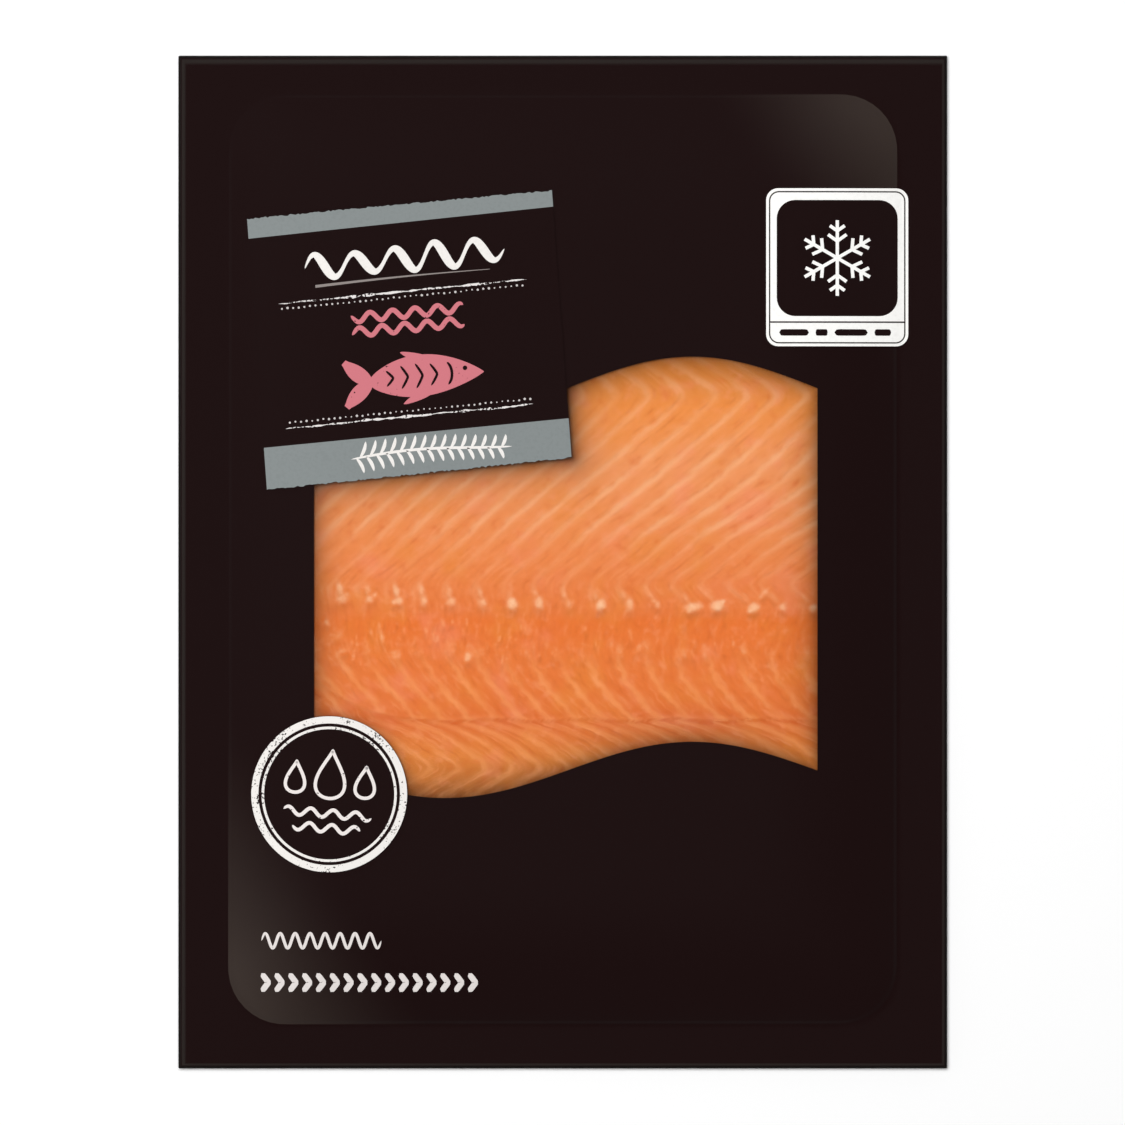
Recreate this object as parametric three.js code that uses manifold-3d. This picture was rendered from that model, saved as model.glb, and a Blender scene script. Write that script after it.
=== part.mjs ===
// A flat retail pack of smoked salmon slices.
// A stiff backing board carries a printed front that is sealed to it round a flat flange and
// rises over the fish as a shallow pillow. A wavy window in the print shows the top slice
// through clear film. A tilted label, a round badge and a corner panel lie on the front.
//
// Millimetres, +Z up. The pack lies on its back: +X is its right, +Y its top edge, and the
// origin is the middle of the underside of the backing board.

import * as THREE from "three";
import { mergeVertices } from "three/addons/utils/BufferGeometryUtils.js";
import Module from "manifold-3d";

// ---------------------------------------------------------------- driving dimensions

const BOARD = { width: 167, height: 220, thickness: 1, cornerRadius: 0.6 };
const CLEARANCE = 0.15; // between pieces that lie on each other
const SIDE_GAP = 0.3; // between pieces that fit into each other

// The printed front: a flange, a low step at the foot of the pillow, then the pillow itself.
const FRONT = {
  inset: 0.5, // the board shows this far outside the front
  flangeTop: 1.75,
  bevel: 0.3, // along the flange's outer edge
  skin: 0.5, // thickness of the print over the fish
};
const PILLOW = {
  width: 145.3,
  height: 202,
  centreY: 0.6,
  slopeWidth: 30, // how far in from its foot the pillow keeps rising
  cornerPower: 6, // squareness of its corners; 6 rounds them by about 11 mm
  stepHeight: 0.6,
  stepWidth: 0.6,
  crown: 4.4, // rise from the top of the step to the flat middle
};

// The window: straight sides, and a wave of one period along its top and bottom.
const WINDOW = {
  left: -54,
  right: 55.3,
  topLevel: 37.9,
  topWave: 6.7,
  bottomLevel: -45.1,
  bottomWave: 6.1,
  period: 107.3,
  crestX: 28.1,
};

// The fish runs on under the print round the window.
const FISH = { overlap: 6, flakeGroove: 0.25, flakePitch: 6.4, rowSpacing: 4.5 };

// The course of a sheet of fat between two flakes, from the upper edge of the side of fish to
// its lower edge: at each height, how far it stands to the right of its spot on the lateral line.
const FLAKE_COURSE = [
  { y: 56, shift: 22 },
  { y: 41, shift: 38.5 },
  { y: 36, shift: 43.2 }, // upper fold
  { y: 17.5, shift: 23.2 },
  { y: 4.5, shift: 8.5 },
  { y: -4.3, shift: 0.7 },
  { y: -9, shift: 0 }, // spots along the lateral line
  { y: -19, shift: 0 },
  { y: -34, shift: 10.9 }, // seam below the dark muscle
  { y: -44.7, shift: 30 }, // lower fold
  { y: -58, shift: 12.6 },
];

// The tilted label, whose sides lean a little less than its top and bottom rise.
const LABEL = {
  centre: [-33.3, 48.4],
  width: 66.5,
  height: 58.2,
  rise: 5.65, // degrees that the top and bottom edges rise towards the right
  lean: 4.2, // degrees that the sides lean
  tear: 0.25, // depth of the torn notches along the top and bottom edges
};
const BADGE = { centre: [-50.7, -50.4], radius: 17 };
const PANEL = { centre: [59.6, 64], width: 30.9, height: 34.3, cornerRadius: 2.6 };
const STICKER_THICKNESS = 0.3;

// ---------------------------------------------------------------- the front's height

const smoothStep = (t) => {
  const s = Math.min(1, Math.max(0, t));
  return s * s * (3 - 2 * s);
};

const radians = (degrees) => (degrees * Math.PI) / 180;

const powerNorm = (u, v) =>
  (u ** PILLOW.cornerPower + v ** PILLOW.cornerPower) ** (1 / PILLOW.cornerPower);

/** 1 at the pillow's foot and beyond, falling to 0 where its flat middle begins. */
function pillowLevel(x, y) {
  const fromSide = PILLOW.width / 2 - Math.abs(x);
  const fromEnd = PILLOW.height / 2 - Math.abs(y - PILLOW.centreY);
  const u = Math.max(0, 1 - fromSide / PILLOW.slopeWidth);
  const v = Math.max(0, 1 - fromEnd / PILLOW.slopeWidth);
  return Math.min(1, powerNorm(u, v));
}

/** Height of the front's outer surface. */
function frontHeight(x, y) {
  const level = pillowLevel(x, y);
  const inside = (1 - level) * PILLOW.slopeWidth;
  const step = PILLOW.stepHeight * smoothStep(inside / PILLOW.stepWidth);
  return FRONT.flangeTop + step + PILLOW.crown * (1 - level * level);
}

// ---------------------------------------------------------------- flat meshes and slabs

/** Points in the plane, with triangles that turn anticlockwise seen from above. */
function newSheet() {
  return { points: [], triangles: [] };
}

function addTriangle(sheet, a, b, c) {
  if (a !== b && b !== c && a !== c) sheet.triangles.push([a, b, c]);
}

function addQuad(sheet, a, b, c, d) {
  addTriangle(sheet, a, b, c);
  addTriangle(sheet, a, c, d);
}

/** A sheet of columns by rows cells; place(i, j) gives the point of a corner. */
function gridSheet(columns, rows, place) {
  const sheet = newSheet();
  for (let j = 0; j <= rows; j++) {
    for (let i = 0; i <= columns; i++) sheet.points.push(place(i, j));
  }
  const at = (i, j) => j * (columns + 1) + i;
  for (let j = 0; j < rows; j++) {
    for (let i = 0; i < columns; i++) {
      addQuad(sheet, at(i, j), at(i + 1, j), at(i + 1, j + 1), at(i, j + 1));
    }
  }
  return sheet;
}

/** Joins two loops of point numbers, the inner one first, by a strip of cells. */
function addStrip(sheet, inner, outer) {
  inner.forEach((a, k) => {
    const next = (k + 1) % inner.length;
    addQuad(sheet, a, outer[k], outer[next], inner[next]);
  });
}

/** The closed solid over a sheet between two heights, each a function of x and y. */
function slab(sheet, top, bottom) {
  const count = sheet.points.length;
  const vertices = [];
  for (const height of [top, bottom]) {
    for (const [x, y] of sheet.points) vertices.push(x, y, height(x, y));
  }
  const faces = [];
  const edges = new Map();
  for (const [a, b, c] of sheet.triangles) {
    faces.push(a, b, c, count + c, count + b, count + a);
    for (const [from, to] of [[a, b], [b, c], [c, a]]) {
      if (!edges.delete(`${to},${from}`)) edges.set(`${from},${to}`, [from, to]);
    }
  }
  for (const [from, to] of edges.values()) {
    faces.push(to, from, count + from, to, count + from, count + to);
  }
  return new THREE.BufferGeometry()
    .setAttribute("position", new THREE.Float32BufferAttribute(vertices, 3))
    .setIndex(faces);
}

// ---------------------------------------------------------------- joining and cutting

const wasm = await Module();
wasm.setup();

function solidOf(geometry) {
  const bare = geometry.clone();
  bare.deleteAttribute("normal");
  bare.deleteAttribute("uv");
  const merged = mergeVertices(bare, 1e-4);
  return new wasm.Manifold(
    new wasm.Mesh({
      numProp: 3,
      vertProperties: merged.attributes.position.array,
      triVerts: new Uint32Array(merged.index.array),
    }),
  );
}

function geometryOf(solid) {
  const mesh = solid.getMesh();
  const geometry = new THREE.BufferGeometry()
    .setAttribute("position", new THREE.Float32BufferAttribute(mesh.vertProperties, 3))
    .setIndex(Array.from(mesh.triVerts));
  geometry.computeVertexNormals();
  return geometry;
}

/** A straight prism over an outline, between two heights. */
function prism(shape, low, high) {
  const geometry = new THREE.ExtrudeGeometry(shape, {
    depth: high - low,
    bevelEnabled: false,
    curveSegments: 6,
  });
  return geometry.translate(0, 0, low);
}

// ---------------------------------------------------------------- outlines

const wave = (level, height, x) =>
  level + height * Math.cos((2 * Math.PI * (x - WINDOW.crestX)) / WINDOW.period);

/** The window's outline, grown by a margin, or shrunk where that is negative. */
function windowShape(margin) {
  const steps = 28;
  const left = WINDOW.left - margin;
  const right = WINDOW.right + margin;
  const along = (k) => left + ((right - left) * k) / steps;
  const points = [];
  for (let k = 0; k <= steps; k++) {
    const x = along(k);
    points.push(new THREE.Vector2(x, wave(WINDOW.bottomLevel, WINDOW.bottomWave, x) - margin));
  }
  for (let k = steps; k >= 0; k--) {
    const x = along(k);
    points.push(new THREE.Vector2(x, wave(WINDOW.topLevel, WINDOW.topWave, x) + margin));
  }
  return new THREE.Shape(points);
}

function roundedRectangle(width, height, radius) {
  const [x, y] = [width / 2, height / 2];
  const shape = new THREE.Shape();
  shape.moveTo(-x + radius, -y);
  shape.lineTo(x - radius, -y);
  shape.absarc(x - radius, -y + radius, radius, -Math.PI / 2, 0);
  shape.lineTo(x, y - radius);
  shape.absarc(x - radius, y - radius, radius, 0, Math.PI / 2);
  shape.lineTo(-x + radius, y);
  shape.absarc(-x + radius, y - radius, radius, Math.PI / 2, Math.PI);
  shape.lineTo(-x, -y + radius);
  shape.absarc(-x + radius, -y + radius, radius, Math.PI, 1.5 * Math.PI);
  return shape;
}

// ---------------------------------------------------------------- the printed front

/** The front as a sheet: rings round the pillow's flat middle, out to the flange's edge. */
function frontSheet() {
  const cells = { x: 4, y: 6, corner: 12 };
  const middle = {
    x: PILLOW.width / 2 - PILLOW.slopeWidth,
    y: PILLOW.height / 2 - PILLOW.slopeWidth,
  };
  const sheet = gridSheet(cells.x, cells.y, (i, j) => [
    middle.x * ((2 * i) / cells.x - 1),
    PILLOW.centreY + middle.y * ((2 * j) / cells.y - 1),
  ]);

  // Spokes leave the edge of the middle; at a corner they fan out from one point.
  const at = (i, j) => j * (cells.x + 1) + i;
  const spokes = [];
  const side = (count, start, turn) => {
    for (let k = 1; k < count; k++) spokes.push({ from: start(k), turn });
  };
  const fan = (from, turn) => {
    for (let k = 0; k <= cells.corner; k++) {
      spokes.push({ from, turn: turn + (90 * k) / cells.corner });
    }
  };
  side(cells.x, (k) => at(k, 0), 270);
  fan(at(cells.x, 0), 270);
  side(cells.y, (k) => at(cells.x, k), 0);
  fan(at(cells.x, cells.y), 0);
  side(cells.x, (k) => at(cells.x - k, cells.y), 90);
  fan(at(0, cells.y), 90);
  side(cells.y, (k) => at(0, cells.y - k), 180);
  fan(at(0, 0), 180);

  const addLoop = (place) =>
    spokes.map((spoke) => {
      const turn = radians(spoke.turn);
      sheet.points.push(place(sheet.points[spoke.from], Math.cos(turn), Math.sin(turn)));
      return sheet.points.length - 1;
    });
  let inner = spokes.map((spoke) => spoke.from);
  const grow = (place) => {
    const outer = addLoop(place);
    addStrip(sheet, inner, outer);
    inner = outer;
  };

  const stepLevel = 1 - PILLOW.stepWidth / PILLOW.slopeWidth;
  for (const level of [0.15, 0.3, 0.45, 0.6, 0.72, 0.83, 0.92, stepLevel, 1]) {
    grow(([x, y], dx, dy) => {
      const reach = (level * PILLOW.slopeWidth) / powerNorm(Math.abs(dx), Math.abs(dy));
      return [x + dx * reach, y + dy * reach];
    });
  }
  for (const inset of [FRONT.inset + FRONT.bevel, FRONT.inset]) {
    const edge = { x: BOARD.width / 2 - inset, y: BOARD.height / 2 - inset };
    grow(([x, y], dx, dy) => {
      const share = Math.max(Math.abs(dx), Math.abs(dy));
      const reachX = Math.sign(dx) * edge.x - x;
      const reachY = Math.sign(dy) * edge.y - y;
      return [
        x + (Math.abs(reachX) * dx) / share,
        y + (Math.abs(reachY) * dy) / share,
      ];
    });
  }
  return sheet;
}

/** Height of the front with the bevel along the flange's outer edge. */
function bevelledFrontHeight(x, y) {
  const fromEdge = Math.min(
    BOARD.width / 2 - FRONT.inset - Math.abs(x),
    BOARD.height / 2 - FRONT.inset - Math.abs(y),
  );
  return frontHeight(x, y) - Math.max(0, FRONT.bevel - fromEdge);
}

const boardTop = BOARD.thickness;
const frontUnderside = boardTop + CLEARANCE;

/** A slab of the front's own curve over a rectangular patch, between two depths. */
function curvedSlab(margin, topDepth, bottom) {
  const [columns, rows] = [22, 20];
  const spread = { x: 62 + margin, y: 54 + margin };
  const sheet = gridSheet(columns, rows, (i, j) => [
    spread.x * ((2 * i) / columns - 1),
    spread.y * ((2 * j) / rows - 1),
  ]);
  return solidOf(slab(sheet, (x, y) => frontHeight(x, y) - topDepth, bottom));
}

function frontGeometry() {
  const whole = solidOf(slab(frontSheet(), bevelledFrontHeight, () => frontUnderside));
  const opening = solidOf(prism(windowShape(0), frontUnderside - 1, 10));
  const room = solidOf(prism(windowShape(FISH.overlap), frontUnderside - 1, 10));
  const pocket = curvedSlab(FISH.overlap, FRONT.skin, () => frontUnderside - 1).intersect(room);
  return geometryOf(whole.subtract(pocket).subtract(opening));
}

function windowFilmGeometry() {
  const filmThickness = 0.3;
  const film = curvedSlab(0, 0, (x, y) => frontHeight(x, y) - filmThickness);
  const opening = solidOf(prism(windowShape(-SIDE_GAP), frontUnderside, 10));
  return geometryOf(film.intersect(opening));
}

// ---------------------------------------------------------------- the fish

/** How far a sheet of fat stands to the right at height y. */
function flakeShift(y) {
  const next = Math.max(1, FLAKE_COURSE.findIndex((point) => point.y <= y));
  const [upper, lower] = [FLAKE_COURSE[next - 1], FLAKE_COURSE[next]];
  const share = (upper.y - y) / (upper.y - lower.y);
  return upper.shift + (lower.shift - upper.shift) * share;
}

/** Heights of the slab's rows of corners, with one on each bend of the course. */
function fishRows() {
  const rows = [FLAKE_COURSE[0].y];
  for (const { y } of FLAKE_COURSE.slice(1)) {
    const above = rows.at(-1);
    const parts = Math.ceil((above - y) / FISH.rowSpacing);
    for (let part = 1; part <= parts; part++) rows.push(above + ((y - above) * part) / parts);
  }
  return rows.reverse();
}

/** The slices, with a shallow groove along each sheet of fat between two flakes. */
function fishGeometry() {
  const farthestShift = Math.max(...FLAKE_COURSE.map((point) => point.shift));
  const reach = FISH.overlap - SIDE_GAP;
  const firstFlake = Math.floor((WINDOW.left - reach - farthestShift) / FISH.flakePitch);
  const lastFlake = Math.ceil((WINDOW.right + reach) / FISH.flakePitch);
  const rows = fishRows();

  const columns = 2 * (lastFlake - firstFlake);
  const sheet = gridSheet(columns, rows.length - 1, (i, j) => [
    (firstFlake + i / 2) * FISH.flakePitch + flakeShift(rows[j]),
    rows[j],
  ]);
  const top = (x, y) => {
    const phase = (x - flakeShift(y)) / FISH.flakePitch;
    const fromGroove = Math.abs(phase - Math.round(phase)) * 2;
    const depth = FRONT.skin + SIDE_GAP;
    return frontHeight(x, y) - depth - FISH.flakeGroove * (1 - fromGroove);
  };
  const underside = boardTop + CLEARANCE;
  const outline = solidOf(prism(windowShape(reach), 0, 10));
  return geometryOf(solidOf(slab(sheet, top, () => underside)).intersect(outline));
}

// ---------------------------------------------------------------- what lies on the front

/** A thin piece over a sheet, lying on the front. */
function stickerGeometry(sheet) {
  const rest = (x, y) => frontHeight(x, y) + CLEARANCE;
  const geometry = slab(sheet, (x, y) => rest(x, y) + STICKER_THICKNESS, rest);
  geometry.computeVertexNormals();
  return geometry;
}

function labelGeometry() {
  const [columns, rows] = [36, 11];
  const [rise, lean] = [radians(LABEL.rise), radians(LABEL.lean)];
  const notch = (i) => LABEL.tear * (0.5 * Math.sin(2.1 * i) + 0.5 * Math.sin(5.3 * i + 1));
  const sheet = gridSheet(columns, rows, (i, j) => {
    const across = LABEL.width * (i / columns - 0.5);
    const torn = j === 0 || j === rows ? notch(i + 7 * j) : 0;
    const up = LABEL.height * (j / rows - 0.5) + torn;
    return [
      LABEL.centre[0] + across * Math.cos(rise) - up * Math.sin(lean),
      LABEL.centre[1] + across * Math.sin(rise) + up * Math.cos(lean),
    ];
  });
  return stickerGeometry(sheet);
}

function badgeGeometry() {
  const segments = 48;
  const sheet = newSheet();
  const [x, y] = BADGE.centre;
  sheet.points.push([x, y]);
  let inner = new Array(segments).fill(0);
  for (const share of [0.34, 0.67, 1]) {
    const outer = inner.map((_, k) => {
      const turn = (2 * Math.PI * k) / segments;
      const radius = BADGE.radius * share;
      sheet.points.push([x + radius * Math.cos(turn), y + radius * Math.sin(turn)]);
      return sheet.points.length - 1;
    });
    addStrip(sheet, inner, outer);
    inner = outer;
  }
  return stickerGeometry(sheet);
}

/** The corner panel crosses the foot of the pillow, so its cells meet the step's edges. */
function panelGeometry() {
  const [cx, cy] = PANEL.centre;
  const foot = PILLOW.width / 2;
  const left = cx - PANEL.width / 2 - 1;
  const slope = [0, 0.2, 0.4, 0.6, 0.8].map((share) => left + (foot - 1.5 - left) * share);
  const xs = [...slope, foot - 1.5, foot - PILLOW.stepWidth, foot, cx + PANEL.width / 2 + 1];
  const rows = 8;
  const sheet = gridSheet(xs.length - 1, rows, (i, j) => [
    xs[i],
    cy + (PANEL.height + 2) * (j / rows - 0.5),
  ]);
  const outline = prism(roundedRectangle(PANEL.width, PANEL.height, PANEL.cornerRadius), 0, 20);
  outline.translate(cx, cy, 0);
  return geometryOf(solidOf(stickerGeometry(sheet)).intersect(solidOf(outline)));
}

// ---------------------------------------------------------------- the pack

const pack = new THREE.Group();

function addPiece(name, geometry, color, roughness, extra = {}) {
  const material = new THREE.MeshStandardMaterial({ color, roughness, metalness: 0, ...extra });
  const mesh = new THREE.Mesh(geometry, material);
  mesh.name = name;
  pack.add(mesh);
}

const boardShape = roundedRectangle(BOARD.width, BOARD.height, BOARD.cornerRadius);
addPiece("backing_board", prism(boardShape, 0, boardTop), 0x171412, 0.6);
addPiece("pack_front", frontGeometry(), 0x1e1212, 0.45);
addPiece("salmon_slices", fishGeometry(), 0xee8247, 0.4);
addPiece("window_film", windowFilmGeometry(), 0xffffff, 0.1, {
  transparent: true,
  opacity: 0.15,
});
addPiece("label", labelGeometry(), 0x1e1212, 0.5);
addPiece("round_badge", badgeGeometry(), 0xf4f2ee, 0.5);
addPiece("corner_panel", panelGeometry(), 0xfefefc, 0.5);

export default pack;
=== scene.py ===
"""A flat pack of smoked salmon slices: a black printed front with a wavy clear window, sealed to
a stiff board. Laid out as a Blender add-on, and run as a script.

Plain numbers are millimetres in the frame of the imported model, where +X is the pack's right, +Y
its top edge and +Z out of its front. Meshes and properties are in metres.
"""

import math
from functools import partial

import bpy
import numpy as np
from bpy.props import FloatProperty, FloatVectorProperty, IntProperty, PointerProperty
from bpy.types import Node, NodeSocket, Operator, Panel, PropertyGroup
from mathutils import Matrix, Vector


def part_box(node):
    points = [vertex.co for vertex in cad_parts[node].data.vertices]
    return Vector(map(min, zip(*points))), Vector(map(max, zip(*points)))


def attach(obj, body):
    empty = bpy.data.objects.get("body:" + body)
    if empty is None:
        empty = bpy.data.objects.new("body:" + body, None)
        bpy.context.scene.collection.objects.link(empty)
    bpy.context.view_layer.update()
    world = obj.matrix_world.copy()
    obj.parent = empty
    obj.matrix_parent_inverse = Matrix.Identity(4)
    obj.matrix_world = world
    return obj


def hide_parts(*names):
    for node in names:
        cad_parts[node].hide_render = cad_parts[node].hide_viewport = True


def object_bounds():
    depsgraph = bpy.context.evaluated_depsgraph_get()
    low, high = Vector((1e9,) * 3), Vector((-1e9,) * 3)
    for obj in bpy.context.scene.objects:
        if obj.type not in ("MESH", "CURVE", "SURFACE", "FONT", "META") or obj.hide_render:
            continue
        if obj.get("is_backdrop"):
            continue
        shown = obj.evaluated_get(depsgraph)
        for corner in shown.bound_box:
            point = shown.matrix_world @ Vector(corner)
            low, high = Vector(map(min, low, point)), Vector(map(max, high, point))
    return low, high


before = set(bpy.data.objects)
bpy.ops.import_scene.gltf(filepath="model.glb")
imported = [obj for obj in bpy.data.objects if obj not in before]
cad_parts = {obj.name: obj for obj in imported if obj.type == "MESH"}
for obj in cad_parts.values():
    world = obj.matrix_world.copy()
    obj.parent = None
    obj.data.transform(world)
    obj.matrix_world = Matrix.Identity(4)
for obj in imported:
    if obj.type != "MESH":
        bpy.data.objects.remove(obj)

bl_info = {
    "name": "Smoked Salmon Pack",
    "version": (1, 0, 0),
    "blender": (4, 5, 0),
    "location": "3D View > Sidebar > Salmon Pack",
    "description": "Builds a flat pack of smoked salmon slices round its packed frame",
    "category": "Add Mesh",
}

CAD_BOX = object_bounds()
MM = 0.001
BODY = "root"
FULL_TURN = 2 * math.pi

# The board, and the front's flange round the pillow, which lies just over the board.
BOARD_LOW, BOARD_HIGH = (np.array(corner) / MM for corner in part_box("backing_board"))
BOARD_CORNER, BOARD_EASE = 0.3, 0.12
FRONT_INSET = 0.5
FRONT_HALF = (BOARD_HIGH - BOARD_LOW)[:2] / 2 - FRONT_INSET
FLANGE_TOP, FLANGE_GAP = 1.75, 0.02

# The pillow over the fish: its foot with round corners, how far in from there it keeps rising,
# and the width of the step at its foot.
PILLOW_WIDTH, PILLOW_HEIGHT, PILLOW_CORNER = 145.3, 202.0, 12.2
PILLOW_CENTRE_Y = 0.6
SLOPE_WIDTH = 30.0
STEP_WIDTH = 0.9

# The window: straight sides, and one period of a wave along its top and bottom.
WINDOW_LEFT, WINDOW_RIGHT = -54.0, 55.3
WINDOW_TOP, TOP_WAVE = 37.9, 6.7
WINDOW_BOTTOM, BOTTOM_WAVE = -45.1, 6.1
WAVE_PERIOD, WAVE_CREST_X = 107.3, 28.1

# How far the film and the fish run on under the print, how far the film's face lies under the
# front's, and the gap between the fish and the board.
FILM_OVERLAP, FILM_SINK, FILM_THICKNESS = 0.8, 0.05, 0.18
FISH_OVERLAP, FISH_GAP = 5.7, 0.15

# The tilted label, the round badge and the corner panel. The panel spans the pillow's right
# foot, and has the front's mean height between two distances to the left of each point.
LABEL_CENTRE = (-33.3, 48.4)
LABEL_WIDTH, LABEL_HEIGHT = 66.5, 58.2
LABEL_RISE, LABEL_LEAN = math.radians(5.65), math.radians(4.2)
BADGE_CENTRE, BADGE_RADIUS = (-50.7, -50.4), 17.0
BADGE_TILT = math.radians(-5)
PANEL_CENTRE = (59.6, 64.0)
PANEL_WIDTH, PANEL_HEIGHT, PANEL_CORNER = 30.9, 34.3, 2.6
PANEL_SPAN = (0.3, 1.9)

# Heights of the label's figures and of the inner edges of its grey bands, from its middle.
WAVE_V, FIGURE_V, SPRIG_V = 17.5, -8.6, -24.7
UPPER_BAND_V, LOWER_BAND_V = 25.55, -20.5

# Sheets of fat between the flakes, counted from the one that meets the fish's lateral line here.
# They stand a little wider apart towards the right. The belly's stand between those above them.
LATERAL_Y = -9.3
SHEET_START, SHEET_PITCH, SHEET_SPREAD = -18.6, 6.37, 0.022
BELLY_SHIFT = 0.45

# Spots of fat where the sheets meet the lateral line, from the first sheet on: how far aside of
# the sheet, half width, half height, lean and how plainly they show.
FIRST_SPOT = -5
LATERAL_SPOTS = (
    (0.8, 1.8, 1.3, 0.3, 0.6), (0.6, 1.1, 1.1, 0.2, 0.65), (0.7, 1.2, 1.0, 0.2, 0.8),
    (0.0, 0.9, 1.5, 0.0, 0.7), (-0.3, 1.2, 1.0, 0.5, 0.7), (0.2, 1.2, 1.3, 0.4, 0.6),
    (0.3, 1.2, 1.5, 0.5, 1.0), (-0.2, 1.0, 1.6, 0.1, 0.85), (-0.3, 1.0, 1.4, 0.3, 0.5),
    (0.2, 1.0, 1.5, -0.4, 1.0), (0.0, 1.0, 1.8, 0.0, 0.7), (-0.5, 0.8, 1.0, 0.3, 0.6),
    (0.6, 2.0, 1.0, 0.15, 1.0), (-0.8, 1.6, 1.2, 0.4, 1.05), (0.4, 1.4, 1.1, 0.5, 1.0),
    (-0.1, 1.1, 0.9, -0.7, 0.65), (-0.2, 1.0, 1.0, 0.0, 0.8),
)

# Where the sheets below the lateral line begin, and the band of small flecks of fat round there:
# how many, the height of its middle, and half its width.
LOWER_START_Y = -19.3
FLECKS, FLECK_Y, FLECK_SPREAD = 110, -17.3, 4.4

# Loose patches of fat near the lateral line: place, half width, half height, lean and how
# plainly they show.
LOOSE_FAT = (
    (-51.1, -13.1, 0.7, 1.0, 0.4, 0.6), (-49.0, -16.0, 2.2, 1.6, 0.0, 0.42),
    (-47.9, -19.3, 1.9, 0.7, 0.2, 0.5), (-39.2, -16.4, 0.7, 1.9, 0.2, 0.62),
    (-36.4, -20.2, 1.2, 1.6, 0.0, 0.5), (-20.6, -20.6, 0.9, 1.4, -0.2, 0.85),
    (-19.5, -19.8, 3.4, 1.8, 0.2, 0.45), (16.6, -18.6, 0.9, 2.2, -0.8, 0.4),
    (43.6, -6.8, 0.7, 2.0, -0.75, 0.5),
)

# The edge of the belly flakes: its height, and how it curves up at the left.
SEAM_Y, SEAM_BEND_X, SEAM_BEND_WIDTH, SEAM_BEND_RISE = -34.3, -33.0, 15.0, 5.0

# The course of the sheets: at each height, how far a sheet stands to the right of its place on
# the lateral line, for those that start at the left and for those at the right.
SHEET_COURSE = (
    (60.0, 10.0, 11.0), (41.3, 37.3, 39.4), (39.2, 39.8, 42.8), (37.5, 41.0, 45.0),
    (35.9, 41.6, 46.0), (26.5, 33.6, 36.0), (22.2, 28.9, 32.2), (17.6, 23.1, 27.7),
    (9.1, 13.6, 15.4), (4.8, 9.6, 7.9), (0.5, 5.1, 1.8), (-1.7, 2.4, -0.8),
    (-3.5, 0.4, -3.6), (-4.8, -0.6, -5.0), (-6.0, -0.9, -4.0), (LATERAL_Y, 0.0, 0.0),
    (-17.0, 0.0, -2.0), (-20.4, 1.2, -2.4), (-25.6, 4.8, -0.6), (-31.3, 9.9, 4.0),
    (-34.5, 12.2, 7.4), (-35.6, 16.2, 12.4), (-36.9, 19.6, 15.2), (-39.1, 23.3, 19.7),
    (-44.8, 30.8, 27.5), (-48.3, 24.4, 20.9), (-60.0, 8.0, 3.0),
)

# Colours across the side of fish, by height.
FLESH_TONES = (
    (-56.0, "#9c5a28"), (-49.0, "#bf7032"), (-42.0, "#e4863c"), (-35.0, "#e06d31"),
    (-31.0, "#e77a39"), (-21.0, "#ec7e3b"), (-12.8, "#ec7a34"), (-11.2, "#eb7f40"),
    (4.0, "#ef8e50"), (21.0, "#f19a5f"), (34.0, "#f19448"), (41.0, "#dd8538"), (50.0, "#d27c34"),
)

# What the fish's mesh stores for its material.
FISH_FIELDS = ("spacing", "fat", "spots", "fibres", "under", "edges", "shade")

# Painted shade on the fish beside what lies over it: how dark it is, and how far it reaches.
PRINT_SHADE, LABEL_SHADE, BADGE_SHADE = (0.68, 2.6), (0.9, 2.9), (0.45, 1.3)

# Direction, middle and reach of the painted grey sheen at two of the pillow's corners, along one
# slanting axis.
PAINTED_SHEEN_AXIS = (0.84, 0.54, 0.0)
PAINTED_SHEEN_MIDDLE, PAINTED_SHEEN_START, PAINTED_SHEEN_END = 1.5, 78.5, 140.5

# A painted highlight along a thin band inside the film's rim: across which axis, which way, and
# how much narrower than at the left.
PAINTED_RIM_SIDES = ((0, -1, 1.0), (0, 1, 1.7), (1, 1, 0.8), (1, -1, 1.7))

# The stage, in metres: half the floor's width, and the overhead light's place and width.
FLOOR_HALF = 4.0
KEY_PLACE, KEY_WIDTH = (-0.35, 0.35, 1.6), 1.6

# Which random draws a job takes.
FAT_DRAWS, LABEL_DRAWS = 1, 3

# The least share of its width that a printed line has at a soft end.
THINNEST = 0.06


def srgb(text):
    """The linear colour of an sRGB hex value, with an alpha of 1."""
    parts = [int(text[at:at + 2], 16) / 255 for at in (1, 3, 5)]
    return (*(c / 12.92 if c <= 0.04045 else ((c + 0.055) / 1.055) ** 2.4 for c in parts), 1.0)


def length(name, description, millimetres):
    """A length that the user may change."""
    return FloatProperty(name=name, description=description, default=millimetres * MM,
                         min=0.0, precision=5, unit="LENGTH")


def colour(name, description, value):
    """A colour that the user may change."""
    return FloatVectorProperty(name=name, description=description, default=srgb(value),
                               size=4, min=0.0, max=1.0, subtype="COLOR")


# ---- properties


class PackShape(PropertyGroup):
    """Sizes that the front and what lies on it share."""

    crown: length("Crown", "Rise of the pillow from its step to its flat middle", 4.85)
    step: length("Step", "Height of the step at the foot of the pillow", 0.15)
    edge_round: length("Edge round", "Width of the rounding along the flange's outer edge", 0.9)
    edge_drop: length("Edge drop", "How far that rounding falls", 0.14)
    film: length("Film", "Thickness of the front film at the window", 0.28)
    sticker: length("Sticker", "Height of a sticker's face above the front", 0.32)
    ink: length("Ink", "Thickness of one layer of print on a sticker", 0.04)


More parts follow.
